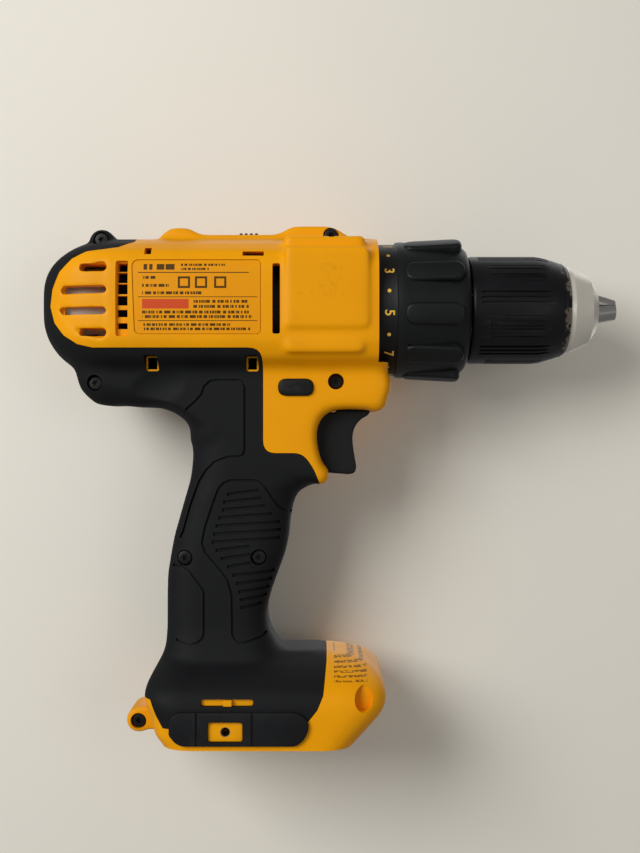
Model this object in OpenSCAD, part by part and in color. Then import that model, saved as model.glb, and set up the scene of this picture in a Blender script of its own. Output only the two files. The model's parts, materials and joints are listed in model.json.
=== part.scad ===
// Compact cordless drill driver with a 13 mm keyless chuck, bare tool.
// Millimetres. +X points forward along the spindle, +Z up, +Y to the drill's left.
// The origin is at the middle of the base, under the overall box.

/* [Housing] */
// Height of the spindle axis above the base
axis_z = 166; // [150:1:200]
// Outside radius of the barrel
barrel_r = 28; // [23:0.5:34]
// Distance from the origin back to the rear of the barrel
rear_x = 113; // [100:1:136]
// Front face of the housing, where the clutch collar starts
nose_x = 18; // [16:0.5:20]
// Wall of the moulded shells
wall = 2.5; // [1.8:0.1:3.2]
// Thickness of the rubber overmould
rubber_t = 1.8; // [1.2:0.1:2.2]
// Width of the handle across the palm
handle_w = 34; // [30:1:41]
// Radius of the handle's front and back in section
handle_r = 22.6; // [21:0.2:28]
// Width of the part of the body under the barrel
belly_w = 36; // [34:1:44]
// Half width of the rail on top of the barrel
rail_half = 9; // [8.5:0.5:11]

/* [Foot] */
// Width of the foot over its side pads
foot_w = 74; // [68:1:89]
// Thickness of the side pads
pad_t = 1.8; // [1.2:0.1:2.2]
// Width of the battery channel under the foot
channel_w = 52; // [44:1:54]
// Height of the battery channel
channel_h = 14.5; // [12.5:0.5:16]
// Radius of the hook screw thread
hook_r = 1.65; // [1.4:0.05:2]

/* [Screws] */
// Radius of the case screw shanks
screw_r = 1.45; // [1.2:0.05:1.6]
// Radius of the case screw heads
screw_head_r = 2.7; // [2.4:0.1:2.9]

/* [Gear train] */
// Wall between the gear case bore and its outside
case_wall = 2.3; // [1.8:0.1:2.6]
// Rim behind the teeth of the ring gears
ring_rim = 2.6; // [2:0.1:3]
// Face width of the first planets
width_1 = 6; // [5:0.5:7]
// Face width of the second planets
width_2 = 6; // [5:0.5:7.5]
// Face width of the third planets
width_3 = 8; // [6.5:0.5:9]
// Play between meshing flanks
backlash = 0.15; // [0.12:0.01:0.2]
// Radius of the planet pins
pin_r = 1.5; // [1.2:0.1:1.8]
// Travel of the speed selector
shift_travel = 7; // [5.5:0.5:7.4]

/* [Clutch and spindle] */
// Radius of the spindle
spindle_r = 6; // [5:0.2:6.2]
// Outside radius of the threaded tube in front of the gear case
tube_r = 12; // [11.4:0.1:12.4]
// Length of the clutch collar
collar_l = 35.2; // [33:0.2:42]
// Number of grip ridges round the collar
ridge_n = 10; // [8:1:12]

/* [Chuck] */
// Outside radius of the chuck sleeve
sleeve_r = 21.3; // [20.5:0.1:24]
// Radius of the round jaws
jaw_r = 3.3; // [2.8:0.1:3.4]
// Slope of the jaws to the chuck's axis
jaw_slope = 17; // [15:0.5:18]
// Opening of the jaws, as the largest shank they hold
jaw_open = 13; // [10:0.5:13]

/* [Controls] */
// Travel of the trigger
trigger_travel = 6.5; // [5:0.5:7]
// Half width of the trigger
trigger_half = 9.5; // [8:0.5:10]
// Travel of the direction button each way
button_travel = 3; // [2:0.5:3.5]
// Distance from the lever's pivot to its finger
lever_l = 16.5; // [14:0.5:18]

/* [Hidden] */
$fn = 96;
eps = 0.01;
big = 400;
run = 0.05;        // radial clearance of a running fit
slide_gap = 0.3;   // clearance round a sliding control
end_gap = 0.3;     // axial clearance between turning pieces

// Teeth of the three planetary stages: sun, planet, ring
teeth_1 = [15, 12, 39];
teeth_2 = [18, 12, 42];
teeth_3 = [15, 12, 39];
press_angle = 25;
addendum = 0.9;
dedendum = 1.1;

// Underside and top of the barrel
under_z = axis_z - barrel_r;
crown_z = axis_z + barrel_r;

// Radii that follow the barrel
case_r = barrel_r - 5.5;
case_in = case_r - case_wall;
motor_r = barrel_r - 9.5;
ring_t = 1.6;       // rubber ring round the motor
mod_1 = (case_in - ring_rim) / (teeth_1[2] / 2 + dedendum);
mod_2 = (case_in - ring_rim) / (teeth_2[2] / 2 + dedendum);
mod_3 = mod_1;
orbit_1 = mod_1 * (teeth_1[0] + teeth_1[1]) / 2;
orbit_2 = mod_2 * (teeth_2[0] + teeth_2[1]) / 2;
orbit_3 = orbit_1;

// Stations along the spindle, worked backwards from the nose
case_x1 = nose_x - 2;
front_wall = 12;
lock_l = 7.5;
lock_x1 = case_x1 - front_wall;
lock_x0 = lock_x1 - lock_l;
carrier_t = 4;
out_x1 = lock_x0 - 0.9;
out_x0 = out_x1 - carrier_t;
p3_x1 = out_x0 - 2 * end_gap;
p3_x0 = p3_x1 - width_3;
c2_x1 = p3_x0 - 2.2;
c2_x0 = c2_x1 - carrier_t + 0.5;
p2_x1 = c2_x0 - end_gap;
p2_x0 = p2_x1 - width_2;
shift_x0 = p2_x0 - 0.5;
shift_x1 = c2_x1 + 0.7;
c1_x1 = shift_x0 - shift_travel + 3.1;
c1_x0 = c1_x1 - carrier_t;
p1_x1 = c1_x0 - 2 * end_gap;
p1_x0 = p1_x1 - width_1;
plate_x1 = p1_x0 - 0.8;
case_x0 = plate_x1 - 3.2;
yoke_x = (shift_x0 + shift_x1) / 2;
yoke_t = 2.3;
hub_r = spindle_r + 2;
seat_r = tube_r - 2.5;

// Motor stations
can_x1 = case_x0;
can_x0 = -rear_x + 12;
can_t = 1.2;
shaft_r = 2.5;
bush_r = 5;

// Clutch stations
collar_x0 = nose_x + end_gap;
collar_x1 = collar_x0 + collar_l;
tube_x1 = collar_x1 - 5.5;
collar_in = case_r - 3.2;
ridge_in = collar_in + 0.7;
nut_x0 = collar_x0 + 19.7;
nut_t = 5;
spring_x0 = collar_x0 + 1.2;
push_r = case_in - 2.6;
push_pin_r = 1.4;

// Chuck stations
chuck_x0 = collar_x1 + 0.6;
body_x0 = chuck_x0 + 1;
chuck_l = 51;
nose_end = chuck_x0 + chuck_l;
tip_x = nose_end + 8;
nut_in_x0 = chuck_x0 + 30;
nut_in_t = 6;
lip_x = chuck_x0 + 36.9;
sleeve_x1 = chuck_x0 + 38.6;
core_r = sleeve_r - 2.7;
lip_r = core_r - 1.6;
tip_off = 1;
jaw_l = 30;
jaw_travel = jaw_open / 2 / sin(jaw_slope);
spindle_x1 = chuck_x0 + 16;

// Controls
switch_x1 = -16;
switch_lo = [-42, -10.5, under_z - 37.5];
switch_hi = [switch_x1, 10.5, under_z - 12.5];
stem_z = under_z - 24;
trigger_back = switch_x1 + trigger_travel + 1.5;
button_z = under_z - 2.9;
lamp_z = under_z - 6.3;
finger_x = -13.5;
finger_r = 1.6;
pivot_x = finger_x - lever_l;

// Handle and foot heights
foot_top = 34;
grip_top = under_z - 40;
belly_half = belly_w / 2;
foot_half = foot_w / 2 - pad_t;
channel_half = channel_w / 2;
handle_mid = -36.4;
handle_lean = 11.3;

// Side outline of the body under the barrel, heights measured down from the barrel's underside
belly_outline = [for (p = [[-96, -14], [-98.3, 1], [-91, 7.3], [-80, 9.7], [-63, 10.7],
        [-56.5, 15], [-54, 22], [-54.7, 36], [-52, 42], [-20, 42], [-4.5, 38.7], [-4.6, 33],
        [-6, 24], [-5, 17], [2, 11.3], [18.5, 11.5], [22.6, 7], [22.6, -1], [18, -7.5],
        [17.8, -14]]) [p[0], under_z - p[1]]];
// Side outline of the handle, heights as shares of the way from the foot to the grip's top
handle_outline = [for (p = [[-54.4, 1.1], [-58.7, 0.836], [-62.7, 0.573], [-64.3, 0.4],
        [-64.6, 0.05], [-66.5, -0.1], [-60, -0.25], [-30, -0.25], [-20, -0.08], [-25.3, 0.06],
        [-25.1, 0.2], [-23.1, 0.35], [-19.5, 0.5], [-16.7, 0.65], [-15.9, 0.8],
        [-13.5, 0.95], [-6, 1.03], [-6, 1.2], [-54, 1.2]])
    [p[0], foot_top + p[1] * (grip_top - foot_top)]];
foot_outline = [[-58, 0], [7.4, 0], [19.6, 8], [20.6, 15], [18.6, 23.5], [11, 29.3],
    [-3, 30], [-20, 33], [-62, 35.5], [-66.5, 29], [-72, 21.5], [-73.4, 15], [-69.5, 9]];
foot_section = [[-foot_half, -1], [foot_half, -1], [foot_half, 15.5], [foot_half - 4, 22],
    [handle_w / 2 + 2, 33.5], [handle_w / 2, 40], [-handle_w / 2, 40],
    [-handle_w / 2 - 2, 33.5], [-foot_half + 4, 22], [-foot_half, 15.5]];
// The rubber covers the handle, the rear rim and the belly, behind this line
rubber_line = [for (p = [[-27.3, -17], [-95, -17], [-104, -13], [-109.4, -5], [-111, 3],
        [-109, 12], [-104, 19], [-97, 24.5], [-82, 27], [-80, 50], [-150, 50]])
    [p[0], axis_z + p[1]]];
rubber_foot = [[-150, 9], [-6, 9], [-3, 15], [-2, 22], [-1.5, 40]];
rubber_front = [[-1.5, grip_top - 3], [-6, grip_top + 5], [-11, grip_top + 10.5],
    [-27.3, grip_top + 10.5]];

// Case screws: place along X and Z, how far the seat lies from the middle plane
screws = [[-90, crown_z - 1, 5.5], [-91, under_z - 1.5, belly_half - 5.5],
    [0, crown_z + 0.7, 5.5], [1.8, under_z - 1, belly_half - 5.5],
    [-56.5, 69, 9.5], [-28, 69.3, 11], [-75.3, 4.6, 6]];
inner_screws = [1, 3, 4, 5];
screw_reach = 2;   // how far a shank goes past the far side of its boss
hook_at = [-39.2, 7.1];
nut_r = 3;
planet_at = [0, 120, 240];

// ---- helpers ----

// Lays what is drawn along +Z onto the spindle axis from station x
module along_x(x = 0) translate([x, 0, axis_z]) rotate([0, 90, 0]) children();

// A round tube or disc on the spindle axis
module ring_x(x0, x1, ro, ri = 0)
    along_x(x0) difference() {
        cylinder(h = x1 - x0, r = ro);
        if (ri > 0) translate([0, 0, -1]) cylinder(h = x1 - x0 + 2, r = ri);
    }

// Turns a profile of [x, radius] points about the spindle axis
module spin_x(profile)
    along_x() rotate_extrude() polygon([for (p = profile) [p[1], p[0]]]);

// Extrudes a side outline of [x, z] points to both sides of the middle plane
module side_slab(points, half)
    translate([0, half, 0]) rotate([90, 0, 0]) linear_extrude(height = 2 * half)
        polygon(points);

// A round bar across the drill
module bar_y(x, z, r, y0, y1)
    translate([x, y1, z]) rotate([90, 0, 0]) cylinder(h = y1 - y0, r = r);

module box(lo, hi) translate(lo) cube(hi - lo);

function unit(v) = v / norm(v);
// Outward normal of an edge of a counter-clockwise outline
function edge_normal(a, b) = let (d = unit(b - a)) [d[1], -d[0]];
// Moves every edge of a counter-clockwise outline inwards by d
function inset(pts, d) = let (n = len(pts)) [for (i = [0 : n - 1])
    let (a = edge_normal(pts[(i + n - 1) % n], pts[i]), b = edge_normal(pts[i], pts[(i + 1) % n]))
    pts[i] - (a + b) * d / (1 + a * b)];
function flip(pts) = [for (i = [len(pts) - 1 : -1 : 0]) pts[i]];

// Rolling angle of the flank at radius r on a base circle rb
function flank(r, rb) = let (a = acos(min(1, rb / r))) tan(a) * 180 / PI - a;
// Half of a tooth's angle at radius r
function half_tooth(r, z, m, play) = 90 / z + flank(z * m / 2, z * m / 2 * cos(press_angle))
    - flank(max(r, z * m / 2 * cos(press_angle)), z * m / 2 * cos(press_angle))
    - play / (z * m) * 180 / PI;
// Outline of a toothed wheel between a root and a tip radius, one tooth centred at phase
function wheel(z, m, root, tip, play, phase) =
    let (base = z * m / 2 * cos(press_angle), low = max(root, base), mid = z * m / 2)
    [for (i = [0 : z - 1], k = [0 : 7])
        let (r = [root, low, mid, tip, tip, mid, low, root][k],
             side = k < 4 ? -1 : 1,
             a = phase + i * 360 / z + side * half_tooth(r, z, m, play))
        [r * cos(a), r * sin(a)]];
function outer_teeth(z, m, phase) =
    wheel(z, m, m * (z / 2 - dedendum), m * (z / 2 + addendum), backlash / 2, phase);
function inner_teeth(z, m, phase) =
    wheel(z, m, m * (z / 2 - addendum), m * (z / 2 + dedendum), -backlash / 2, phase);
// Where a planet's tooth stands when it meshes with a sun whose tooth is at zero
function planet_phase(t, at) = at + 180 - 360 / t[1] * (0.5 - at * t[0] / 360);
function ring_phase(t) = planet_phase(t, 0) * t[1] / t[2];

module prism_x(x0, x1, points)
    along_x(x0) linear_extrude(height = x1 - x0) polygon(points);

// A tube swept along points, with n sides, closed at both ends
module sweep(path, r, n = 8) {
    last = len(path) - 1;
    function dir(i) = unit(path[min(i + 1, last)] - path[max(i - 1, 0)]);
    function side(d) = unit(cross(d, abs(d[0]) > 0.9 ? [0, 1, 0] : [1, 0, 0]));
    pts = [for (i = [0 : last], k = [0 : n - 1])
        let (d = dir(i), u = side(d), v = cross(d, u))
        path[i] + r * (cos(k * 360 / n) * u + sin(k * 360 / n) * v)];
    walls = [for (i = [0 : last - 1], k = [0 : n - 1])
        [i * n + k, i * n + (k + 1) % n, (i + 1) * n + (k + 1) % n, (i + 1) * n + k]];
    ends = [[for (k = [n - 1 : -1 : 0]) k], [for (k = [0 : n - 1]) last * n + k]];
    polyhedron(points = pts, faces = concat(walls, ends), convexity = 6);
}

// A coil spring along X from x0 to x1 about height z
module coil(x0, x1, z, r, wire, turns, steps = 20) {
    count = turns * steps;
    span = x1 - x0 - 2 * wire;
    sweep([for (i = [0 : count])
        [x0 + wire + span * i / count, r * sin(i * 360 / steps), z + r * cos(i * 360 / steps)]],
        wire, 6);
}

// ---- housing ----

module barrel(d, x1 = nose_x) {
    steps = 7;
    spin_x(concat([[-rear_x + d, 0], [-rear_x + d, 5]],
        [for (i = [1 : steps]) let (t = 90 * i / steps)
            [-rear_x + 20 - (20 - d) * cos(t), 5 + (barrel_r - 5 - d) * sin(t)]],
        [[x1, barrel_r - d], [x1, 0]]));
}

module belly(d) side_slab(inset(belly_outline, d), belly_half - d);

module handle(d)
    intersection() {
        side_slab(inset(handle_outline, d), handle_w / 2 - d);
        translate([handle_mid, 0, 90]) rotate([0, handle_lean, 0])
            translate([0, 0, -120]) cylinder(h = 240, r = handle_r - d);
    }

module foot(d)
    intersection() {
        side_slab(inset(foot_outline, d), foot_half);
        translate([-100, 0, 0]) rotate([90, 0, 90]) linear_extrude(height = 200)
            polygon(inset(foot_section, d));
    }

module whole_body(d) {
    barrel(d);
    belly(d);
    handle(d);
    foot(d);
}

module rubber_zone()
    side_slab(concat(rubber_line, rubber_foot, rubber_front), 60);

// Rail on top of the barrel, with the raised ends that guide the speed selector
module top_rail() {
    top = [for (p = [[-66, -4], [-63, 3.5], [-56, 3.8], [-52, 1.3], [-20, 1.3], [-16, 4.5],
        [1, 4.5], [7, -0.1], [15, -0.3], [nose_x - eps, -3], [nose_x - eps, -8], [-66, -8]])
        [p[0], crown_z + p[1]]];
    intersection() {
        side_slab(flip(top), rail_half);
        along_x(-rear_x) cylinder(h = 200, r = barrel_r + 5.2);
    }
}

// Lugs for the top screw at the rear and the screw behind the foot
module lugs() {
    bar_y(screws[0][0], screws[0][1], 4.8, -8.5, 8.5);
    bar_y(screws[6][0], 4.8, 4.8, -10, 10);
    box([screws[6][0], -10, 0.2], [-66, 10, 9]);
}

module screw_bosses() {
    for (i = inner_screws)
        bar_y(screws[i][0], screws[i][1], 4.2, -screws[i][2] - 1, screws[i][2] + 1);
}

// Everything hollow inside the shells
module cavity() {
    d = wall + rubber_t;
    difference() {
        union() {
            difference() {
                barrel(d);
                // ribs that hold the motor, and the seat of the gear case
                ring_x(-80, -77, barrel_r, motor_r + ring_t);
                ring_x(-57, -54, barrel_r, motor_r);
                ring_x(case_x0 + 6, case_x0 + 9, barrel_r, case_r);
                ring_x(case_x1 - 10, nose_x + 1, barrel_r, case_r);
            }
            belly(d);
            handle(d);
            difference() {
                foot(d);
                box([-100, -60, -5], [60, 60, channel_h + wall]);
            }
        }
        screw_bosses();
    }
    ring_x(case_x1 - 12, nose_x + 1, case_r);
    // track of the shift yoke round the gear case
    intersection() {
        ring_x(-35.5 - shift_travel, yoke_x + 2, case_r + yoke_t + 0.3);
        box([-big, -big, axis_z - 3.6], [big, big, axis_z + case_r + yoke_t + 0.3]);
    }
}

module vents() {
    for (z = [17, 9, 0.5, -8]) box([-106, -50, axis_z + z - 2.2], [-91, 50, axis_z + z + 2.2]);
    for (i = [0 : 5]) box([-86, -50, axis_z + 15.5 - 4.7 * i], [-81.5, 50, axis_z + 18.5 - 4.7 * i]);
    box([-24, -50, axis_z - 9.5], [-20.5, -barrel_r + 6, axis_z + 18]);
    box([-24, barrel_r - 6, axis_z - 9.5], [-20.5, 50, axis_z + 18]);
}

// Opening at the front of the handle that the trigger moves in
module trigger_opening()
    box([-16, -trigger_half - slide_gap, under_z - 38.6],
        [30, trigger_half + slide_gap, under_z - 11.2]);

// Bores in the sides of the foot for the nuts of the belt hook
module nut_bores()
    for (s = [-1, 1]) bar_y(hook_at[0], hook_at[1], nut_r, s > 0 ? channel_half : -foot_w,
        s > 0 ? foot_w : -channel_half);

// Opening in the roof of the battery channel for the riser of the terminal block
module riser(grow)
    box([-50 - grow, -9 - grow, channel_h - 0.5], [-42 + grow, 9 + grow, channel_h + wall + 5 * grow]);

// Channel that the battery slides into from the front, with a rail on each side
module battery_channel() {
    difference() {
        box([-56, -channel_half, -1], [60, channel_half, channel_h]);
        for (s = [-1, 1]) translate([0, s * (channel_half - 1.5), 0])
            box([-50, -2, 2.5], [4, 2, 6.5]);
    }
}

module button_bar(grow, half) {
    r = 3.3 + grow;
    for (x = [-17.2, -10.3]) bar_y(x, button_z, r, -half, half);
    box([-17.2, -half, button_z - r], [-10.3, half, button_z + r]);
}

module label_zone(grow)
    for (s = [-1, 1]) intersection() {
        ring_x(-90, 0, barrel_r + 0.5 * grow, barrel_r - 0.5);
        box([-79 - grow, s > 0 ? 5 : -40, axis_z - 10 - grow],
            [-28.5 + grow, s > 0 ? 40 : -5, axis_z + 20 + grow]);
    }

module shell() {
    difference() {
        union() {
            difference() {
                whole_body(0);
                rubber_zone();
            }
            intersection() {
                whole_body(rubber_t);
                rubber_zone();
            }
            difference() {
                top_rail();
                barrel(1);
            }
            lugs();
        }
        cavity();
        vents();
        battery_channel();
        button_bar(slide_gap, 50);
        label_zone(0.3);
        trigger_opening();
        // room under the number ring and for the lamp
        ring_x(nose_x, collar_x1, barrel_r + 0.4);
        translate([10, 0, lamp_z]) rotate([0, 90, 0]) cylinder(h = 20, r = 2.6);
        // well and slot of the speed selector
        box([-52, -7.4, crown_z - 0.8], [-20, 7.4, crown_z + 12]);
        box([-34.5 - shift_travel, -3.4, crown_z - 8], [-30.5, 3.4, crown_z + 12]);
        for (s = screws) {
            bar_y(s[0], s[1], screw_r, -s[2], s[2] + screw_reach);
            bar_y(s[0], s[1], screw_head_r + 0.4, -50, -s[2]);
        }
        nut_bores();
        riser(0.2);
    }
}

module half_space(s) box([-big, s > 0 ? 0 : -big, -big], [big, s > 0 ? big : 0, big]);

module skin() {
    difference() {
        intersection() {
            whole_body(0);
            rubber_zone();
        }
        whole_body(rubber_t);
        vents();
        for (s = screws) bar_y(s[0], s[1], s[2] > 8 || s[0] < -60 ? 3.5 : 3.1, -50, 0);
        lugs();
        battery_channel();
        trigger_opening();
        nut_bores();
    }
}

module housing_right() color("goldenrod") intersection() { shell(); half_space(-1); }
module housing_left() color("goldenrod") intersection() { shell(); half_space(1); }
module grip_right() color("#303236") intersection() { skin(); half_space(-1); }
module grip_left() color("#303236") intersection() { skin(); half_space(1); }

module bumper(s)
    color("#26282b") difference() {
        box([-60, s > 0 ? foot_half : -foot_half - pad_t, 1.5],
            [-8.6, s > 0 ? foot_half + pad_t : -foot_half, 14.4]);
        box([-45.8, -50, 3.1], [-32.5, 50, 10.7]);
    }
module bumper_right() bumper(-1);
module bumper_left() bumper(1);

module housing_screws()
    color("dimgray") for (s = screws) {
        bar_y(s[0], s[1], screw_r, -s[2], s[2] + screw_reach);
        difference() {
            bar_y(s[0], s[1], screw_head_r, -s[2] - 2.4, -s[2]);
            translate([s[0], -s[2] - 2.4, s[1]]) rotate([90, 0, 0])
                translate([0, 0, -1.4]) cylinder(h = 2, r = 1.2, $fn = 6);
        }
    }

module side_labels()
    color("orange") for (s = [-1, 1]) intersection() {
        ring_x(-90, 0, barrel_r - 0.2, barrel_r - 0.5);
        box([-79, s > 0 ? 5 : -40, axis_z - 10], [-28.5, s > 0 ? 40 : -5, axis_z + 20]);
    }

module hook_nuts()
    color("peru") for (s = [-1, 1]) difference() {
        bar_y(hook_at[0], hook_at[1], nut_r, s > 0 ? foot_half - 6 : -foot_half,
            s > 0 ? foot_half : -foot_half + 6);
        bar_y(hook_at[0], hook_at[1], hook_r, -50, 50);
    }

// ---- gear train ----

module pins_at(orbit, x0, x1, r) for (a = planet_at) along_x(x0) rotate([0, 0, a])
    translate([orbit, 0, 0]) cylinder(h = x1 - x0, r = r);

module push_pins(x0, x1, grow = 0) for (a = [0 : 60 : 300]) along_x(x0) rotate([0, 0, a + 30])
    translate([push_r, 0, 0]) cylinder(h = x1 - x0, r = push_pin_r + grow);

module gear_case()
    color("#2a2b2d") difference() {
        union() {
            difference() {
                ring_x(case_x0, case_x1, case_r);
                ring_x(case_x0 - 1, plate_x1 + 0.3, case_in);
                prism_x(plate_x1, p1_x1 + 1.2, inner_teeth(teeth_1[2], mod_1, ring_phase(teeth_1)));
                ring_x(p1_x1 + 0.5, lock_x1, case_in);
            }
            ring_x(case_x1 - eps, tube_x1, tube_r);
        }
        ring_x(lock_x1 - 1, case_x1 - 6, hub_r + 0.3);
        ring_x(case_x1 - 6, tube_x1 + 1, seat_r);
        push_pins(lock_x1 - 1, case_x1 + 1);
        for (s = [-1, 1]) {
            for (x = [yoke_x - shift_travel, yoke_x])
                bar_y(x, axis_z, 1.6, s > 0 ? 10 : -40, s > 0 ? 40 : -10);
            box([yoke_x - shift_travel, s > 0 ? 10 : -40, axis_z - 1.6],
                [yoke_x, s > 0 ? 40 : -10, axis_z + 1.6]);
        }
    }

module clutch_ring_gear()
    color("darkgray") difference() {
        ring_x(p3_x0 - 0.5, p3_x1 + 0.5, case_in);
        prism_x(p3_x0 - 1, p3_x1 + 1, inner_teeth(teeth_3[2], mod_3, ring_phase(teeth_3)));
    }

module shift_ring_gear()
    color("darkgray") difference() {
        ring_x(shift_x0, shift_x1, case_in - 2 * run);
        prism_x(shift_x0 - 1, shift_x1 + 1, inner_teeth(teeth_2[2], mod_2, ring_phase(teeth_2)));
        for (s = [-1, 1])
            bar_y(yoke_x, axis_z, 1.3, s > 0 ? case_in - 1.4 : -40, s > 0 ? 40 : -case_in + 1.4);
    }

module shift_yoke()
    color("steelblue") {
        intersection() {
            ring_x(yoke_x - 1.5, yoke_x + 1.5, case_r + yoke_t, case_r + 0.3);
            box([-60, -40, axis_z - 3], [20, 40, axis_z + 40]);
        }
        for (s = [-1, 1]) bar_y(yoke_x, axis_z, 1.3, s > 0 ? case_in - 1.4 : -case_r - 1,
            s > 0 ? case_r + 1 : -case_in + 1.4);
        intersection() {
            ring_x(-35, yoke_x + 1.5, case_r + yoke_t, case_r + 0.3);
            box([-35, -3, axis_z], [yoke_x + 1.5, 3, axis_z + 40]);
        }
    }

module speed_selector()
    color("#26282b") {
        plate_z = crown_z - 0.7;
        box([-44.5, -7.1, plate_z], [-20.5, 7.1, plate_z + 1.3]);
        for (i = [0 : 2]) box([-35 + 2 * i, -6.5, plate_z], [-33.8 + 2 * i, 6.5, plate_z + 2.5]);
        difference() {
            box([-34, -3, axis_z + case_r], [-31, 3, plate_z + 0.5]);
            ring_x(-40, -20, case_r + yoke_t);
        }
    }

module motor_plate()
    color("#2a2b2d") ring_x(case_x0, plate_x1, case_in, 7.6);

module carrier(x0, x1, r, orbit, pin_end) {
    ring_x(x0, x1, r);
    pins_at(orbit, pin_end, x0 + 1, pin_r);
}

module carrier_1()
    color("gray") union() {
        prism_x(c1_x0, c1_x1, wheel(teeth_2[2], mod_2, mod_2 * (teeth_2[2] / 2 - 1.15),
            mod_2 * (teeth_2[2] / 2 + 0.6), backlash, ring_phase(teeth_2)));
        pins_at(orbit_1, p1_x0 - 0.2, c1_x0 + 1, pin_r);
        prism_x(c1_x1 - 1, p2_x1, outer_teeth(teeth_2[0], mod_2, 0));
    }

module carrier_2()
    color("gray") union() {
        carrier(c2_x0, c2_x1, mod_2 * (teeth_2[2] / 2 - addendum) - 0.8, orbit_2, p2_x0 - 0.4);
        prism_x(c2_x1 - 1, out_x0 - 0.4, outer_teeth(teeth_3[0], mod_3, 0));
    }

module output_carrier()
    color("gray") difference() {
        union() {
            carrier(out_x0, out_x1, orbit_3 + pin_r + 2.2, orbit_3, p3_x0 - 0.4);
            ring_x(out_x1 - 1, case_x1 - 6.3, hub_r);
        }
        ring_x(out_x1, case_x1, spindle_r);
    }

module planet(t, m, orbit, at, x0, x1)
    color("lightgray") along_x(x0) rotate([0, 0, at]) translate([orbit, 0, 0]) difference() {
        linear_extrude(height = x1 - x0)
            polygon(outer_teeth(t[1], m, planet_phase(t, at) - at));
        translate([0, 0, -1]) cylinder(h = x1 - x0 + 2, r = pin_r + run);
    }
module planet_1(i) planet(teeth_1, mod_1, orbit_1, planet_at[i], p1_x0, p1_x1);
module planet_2(i) planet(teeth_2, mod_2, orbit_2, planet_at[i], p2_x0, p2_x1);
module planet_3(i) planet(teeth_3, mod_3, orbit_3, planet_at[i], p3_x0, p3_x1);

module lock_ring()
    color("slategray") ring_x(lock_x0, lock_x1, push_r - push_pin_r - 1.2, hub_r + 0.4);

module spindle()
    color("silver") difference() {
        ring_x(out_x1, spindle_x1, spindle_r);
        ring_x(spindle_x1 - 14, spindle_x1 + 1, 2.9);
    }

module spindle_bearings()
    color("lightsteelblue") {
        ring_x(case_x1 - 6, case_x1, seat_r, spindle_r + run);
        ring_x(tube_x1 - 6, tube_x1, seat_r, spindle_r + run);
    }

// ---- motor ----

module motor_can()
    color("gainsboro") difference() {
        ring_x(can_x0, can_x1, motor_r);
        ring_x(can_x0 - 1, can_x1 - 2, motor_r - can_t);
        ring_x(can_x1 - 3, can_x1 + 1, bush_r);
        for (a = [45 : 90 : 315]) along_x(can_x0 + 6) rotate([0, 0, a])
            translate([0, -3, 0]) cube([motor_r + 5, 6, 5]);
    }

module motor_ring()
    color("#202224") ring_x(-82.5, -74.5, motor_r + ring_t, motor_r);

module motor_magnets()
    color("#3a3a3e") for (s = [-1, 1]) intersection() {
        ring_x(can_x0 + 12, can_x1 - 10, motor_r - can_t, motor_r - 4);
        box([-big, s > 0 ? 6 : -big, 0], [big, s > 0 ? big : -6, big]);
    }

module brush_end_bell()
    color("whitesmoke") difference() {
        union() {
            ring_x(can_x0 - 2, can_x0, motor_r);
            ring_x(can_x0 - eps, can_x0 + 3, motor_r - can_t);
            for (s = [-1, 1]) box([can_x0 + 2, -3.6, axis_z + (s > 0 ? 8 : -13)],
                [can_x0 + 9, 3.6, axis_z + (s > 0 ? 13 : -8)]);
        }
        ring_x(can_x0 - 3, can_x0 + 4, bush_r);
        box([can_x0 + 4, -2.2, axis_z - 20], [can_x0 + 7.5, 2.2, axis_z + 20]);
    }

module carbon_brushes()
    color("#2b2b2b") for (s = [-1, 1]) box([can_x0 + 4, -2.2, axis_z + (s > 0 ? 5.7 : -12)],
        [can_x0 + 7.5, 2.2, axis_z + (s > 0 ? 12 : -5.7)]);

module rotor_bearings()
    color("tan") {
        ring_x(can_x0 - 2, can_x0 + 2.5, bush_r, shaft_r + run);
        ring_x(can_x1 - 3, can_x1, bush_r, shaft_r + run);
    }

module rotor_shaft()
    color("silver") union() {
        ring_x(can_x0 - 3, p1_x0, shaft_r);
        prism_x(p1_x0 - 0.5, c1_x0 - 0.3, outer_teeth(teeth_1[0], mod_1, 0));
    }

module armature()
    color("chocolate") difference() {
        union() {
            ring_x(can_x0 + 14, can_x1 - 14, motor_r - 4.6);
            ring_x(can_x0 + 11, can_x1 - 10.5, motor_r - 7);
        }
        ring_x(can_x0, can_x1, shaft_r);
        for (a = [0 : 72 : 288]) along_x(can_x0 + 13) rotate([0, 0, a])
            translate([motor_r - 8, -1, 0]) cube([10, 2, 50]);
    }

module commutator()
    color("darkorange") ring_x(can_x0 + 3.3, can_x0 + 10.5, 5.5, shaft_r);

module cooling_fan()
    color("#222222") difference() {
        union() {
            ring_x(can_x1 - 10, can_x1 - 3.5, 4.6);
            ring_x(can_x1 - 5, can_x1 - 3.8, motor_r - 4);
            for (a = [0 : 40 : 320]) along_x(can_x1 - 9) rotate([0, 0, a])
                translate([4, -0.6, 0]) cube([motor_r - 8.5, 1.2, 5]);
        }
        ring_x(can_x0, can_x1, shaft_r);
    }

// ---- electrics ----

module switch_module()
    color("#1d1d1f") difference() {
        box(switch_lo, switch_hi);
        translate([switch_x1 - 16, 0, stem_z]) rotate([0, 90, 0]) cylinder(h = 20, r = 2.2);
    }

module terminal_block()
    color("#161616") difference() {
        union() {
            box([-56, -15, 2.5], [-38, 15, channel_h]);
            riser(0);
        }
        for (i = [-2 : 2]) box([-44, i * 6 - 0.4, 5], [-30, i * 6 + 0.4, 11]);
    }

module terminal_blades()
    color("khaki") for (i = [-2 : 2]) box([-44, i * 6 - 0.4, 5], [-22, i * 6 + 0.4, 11]);

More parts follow.
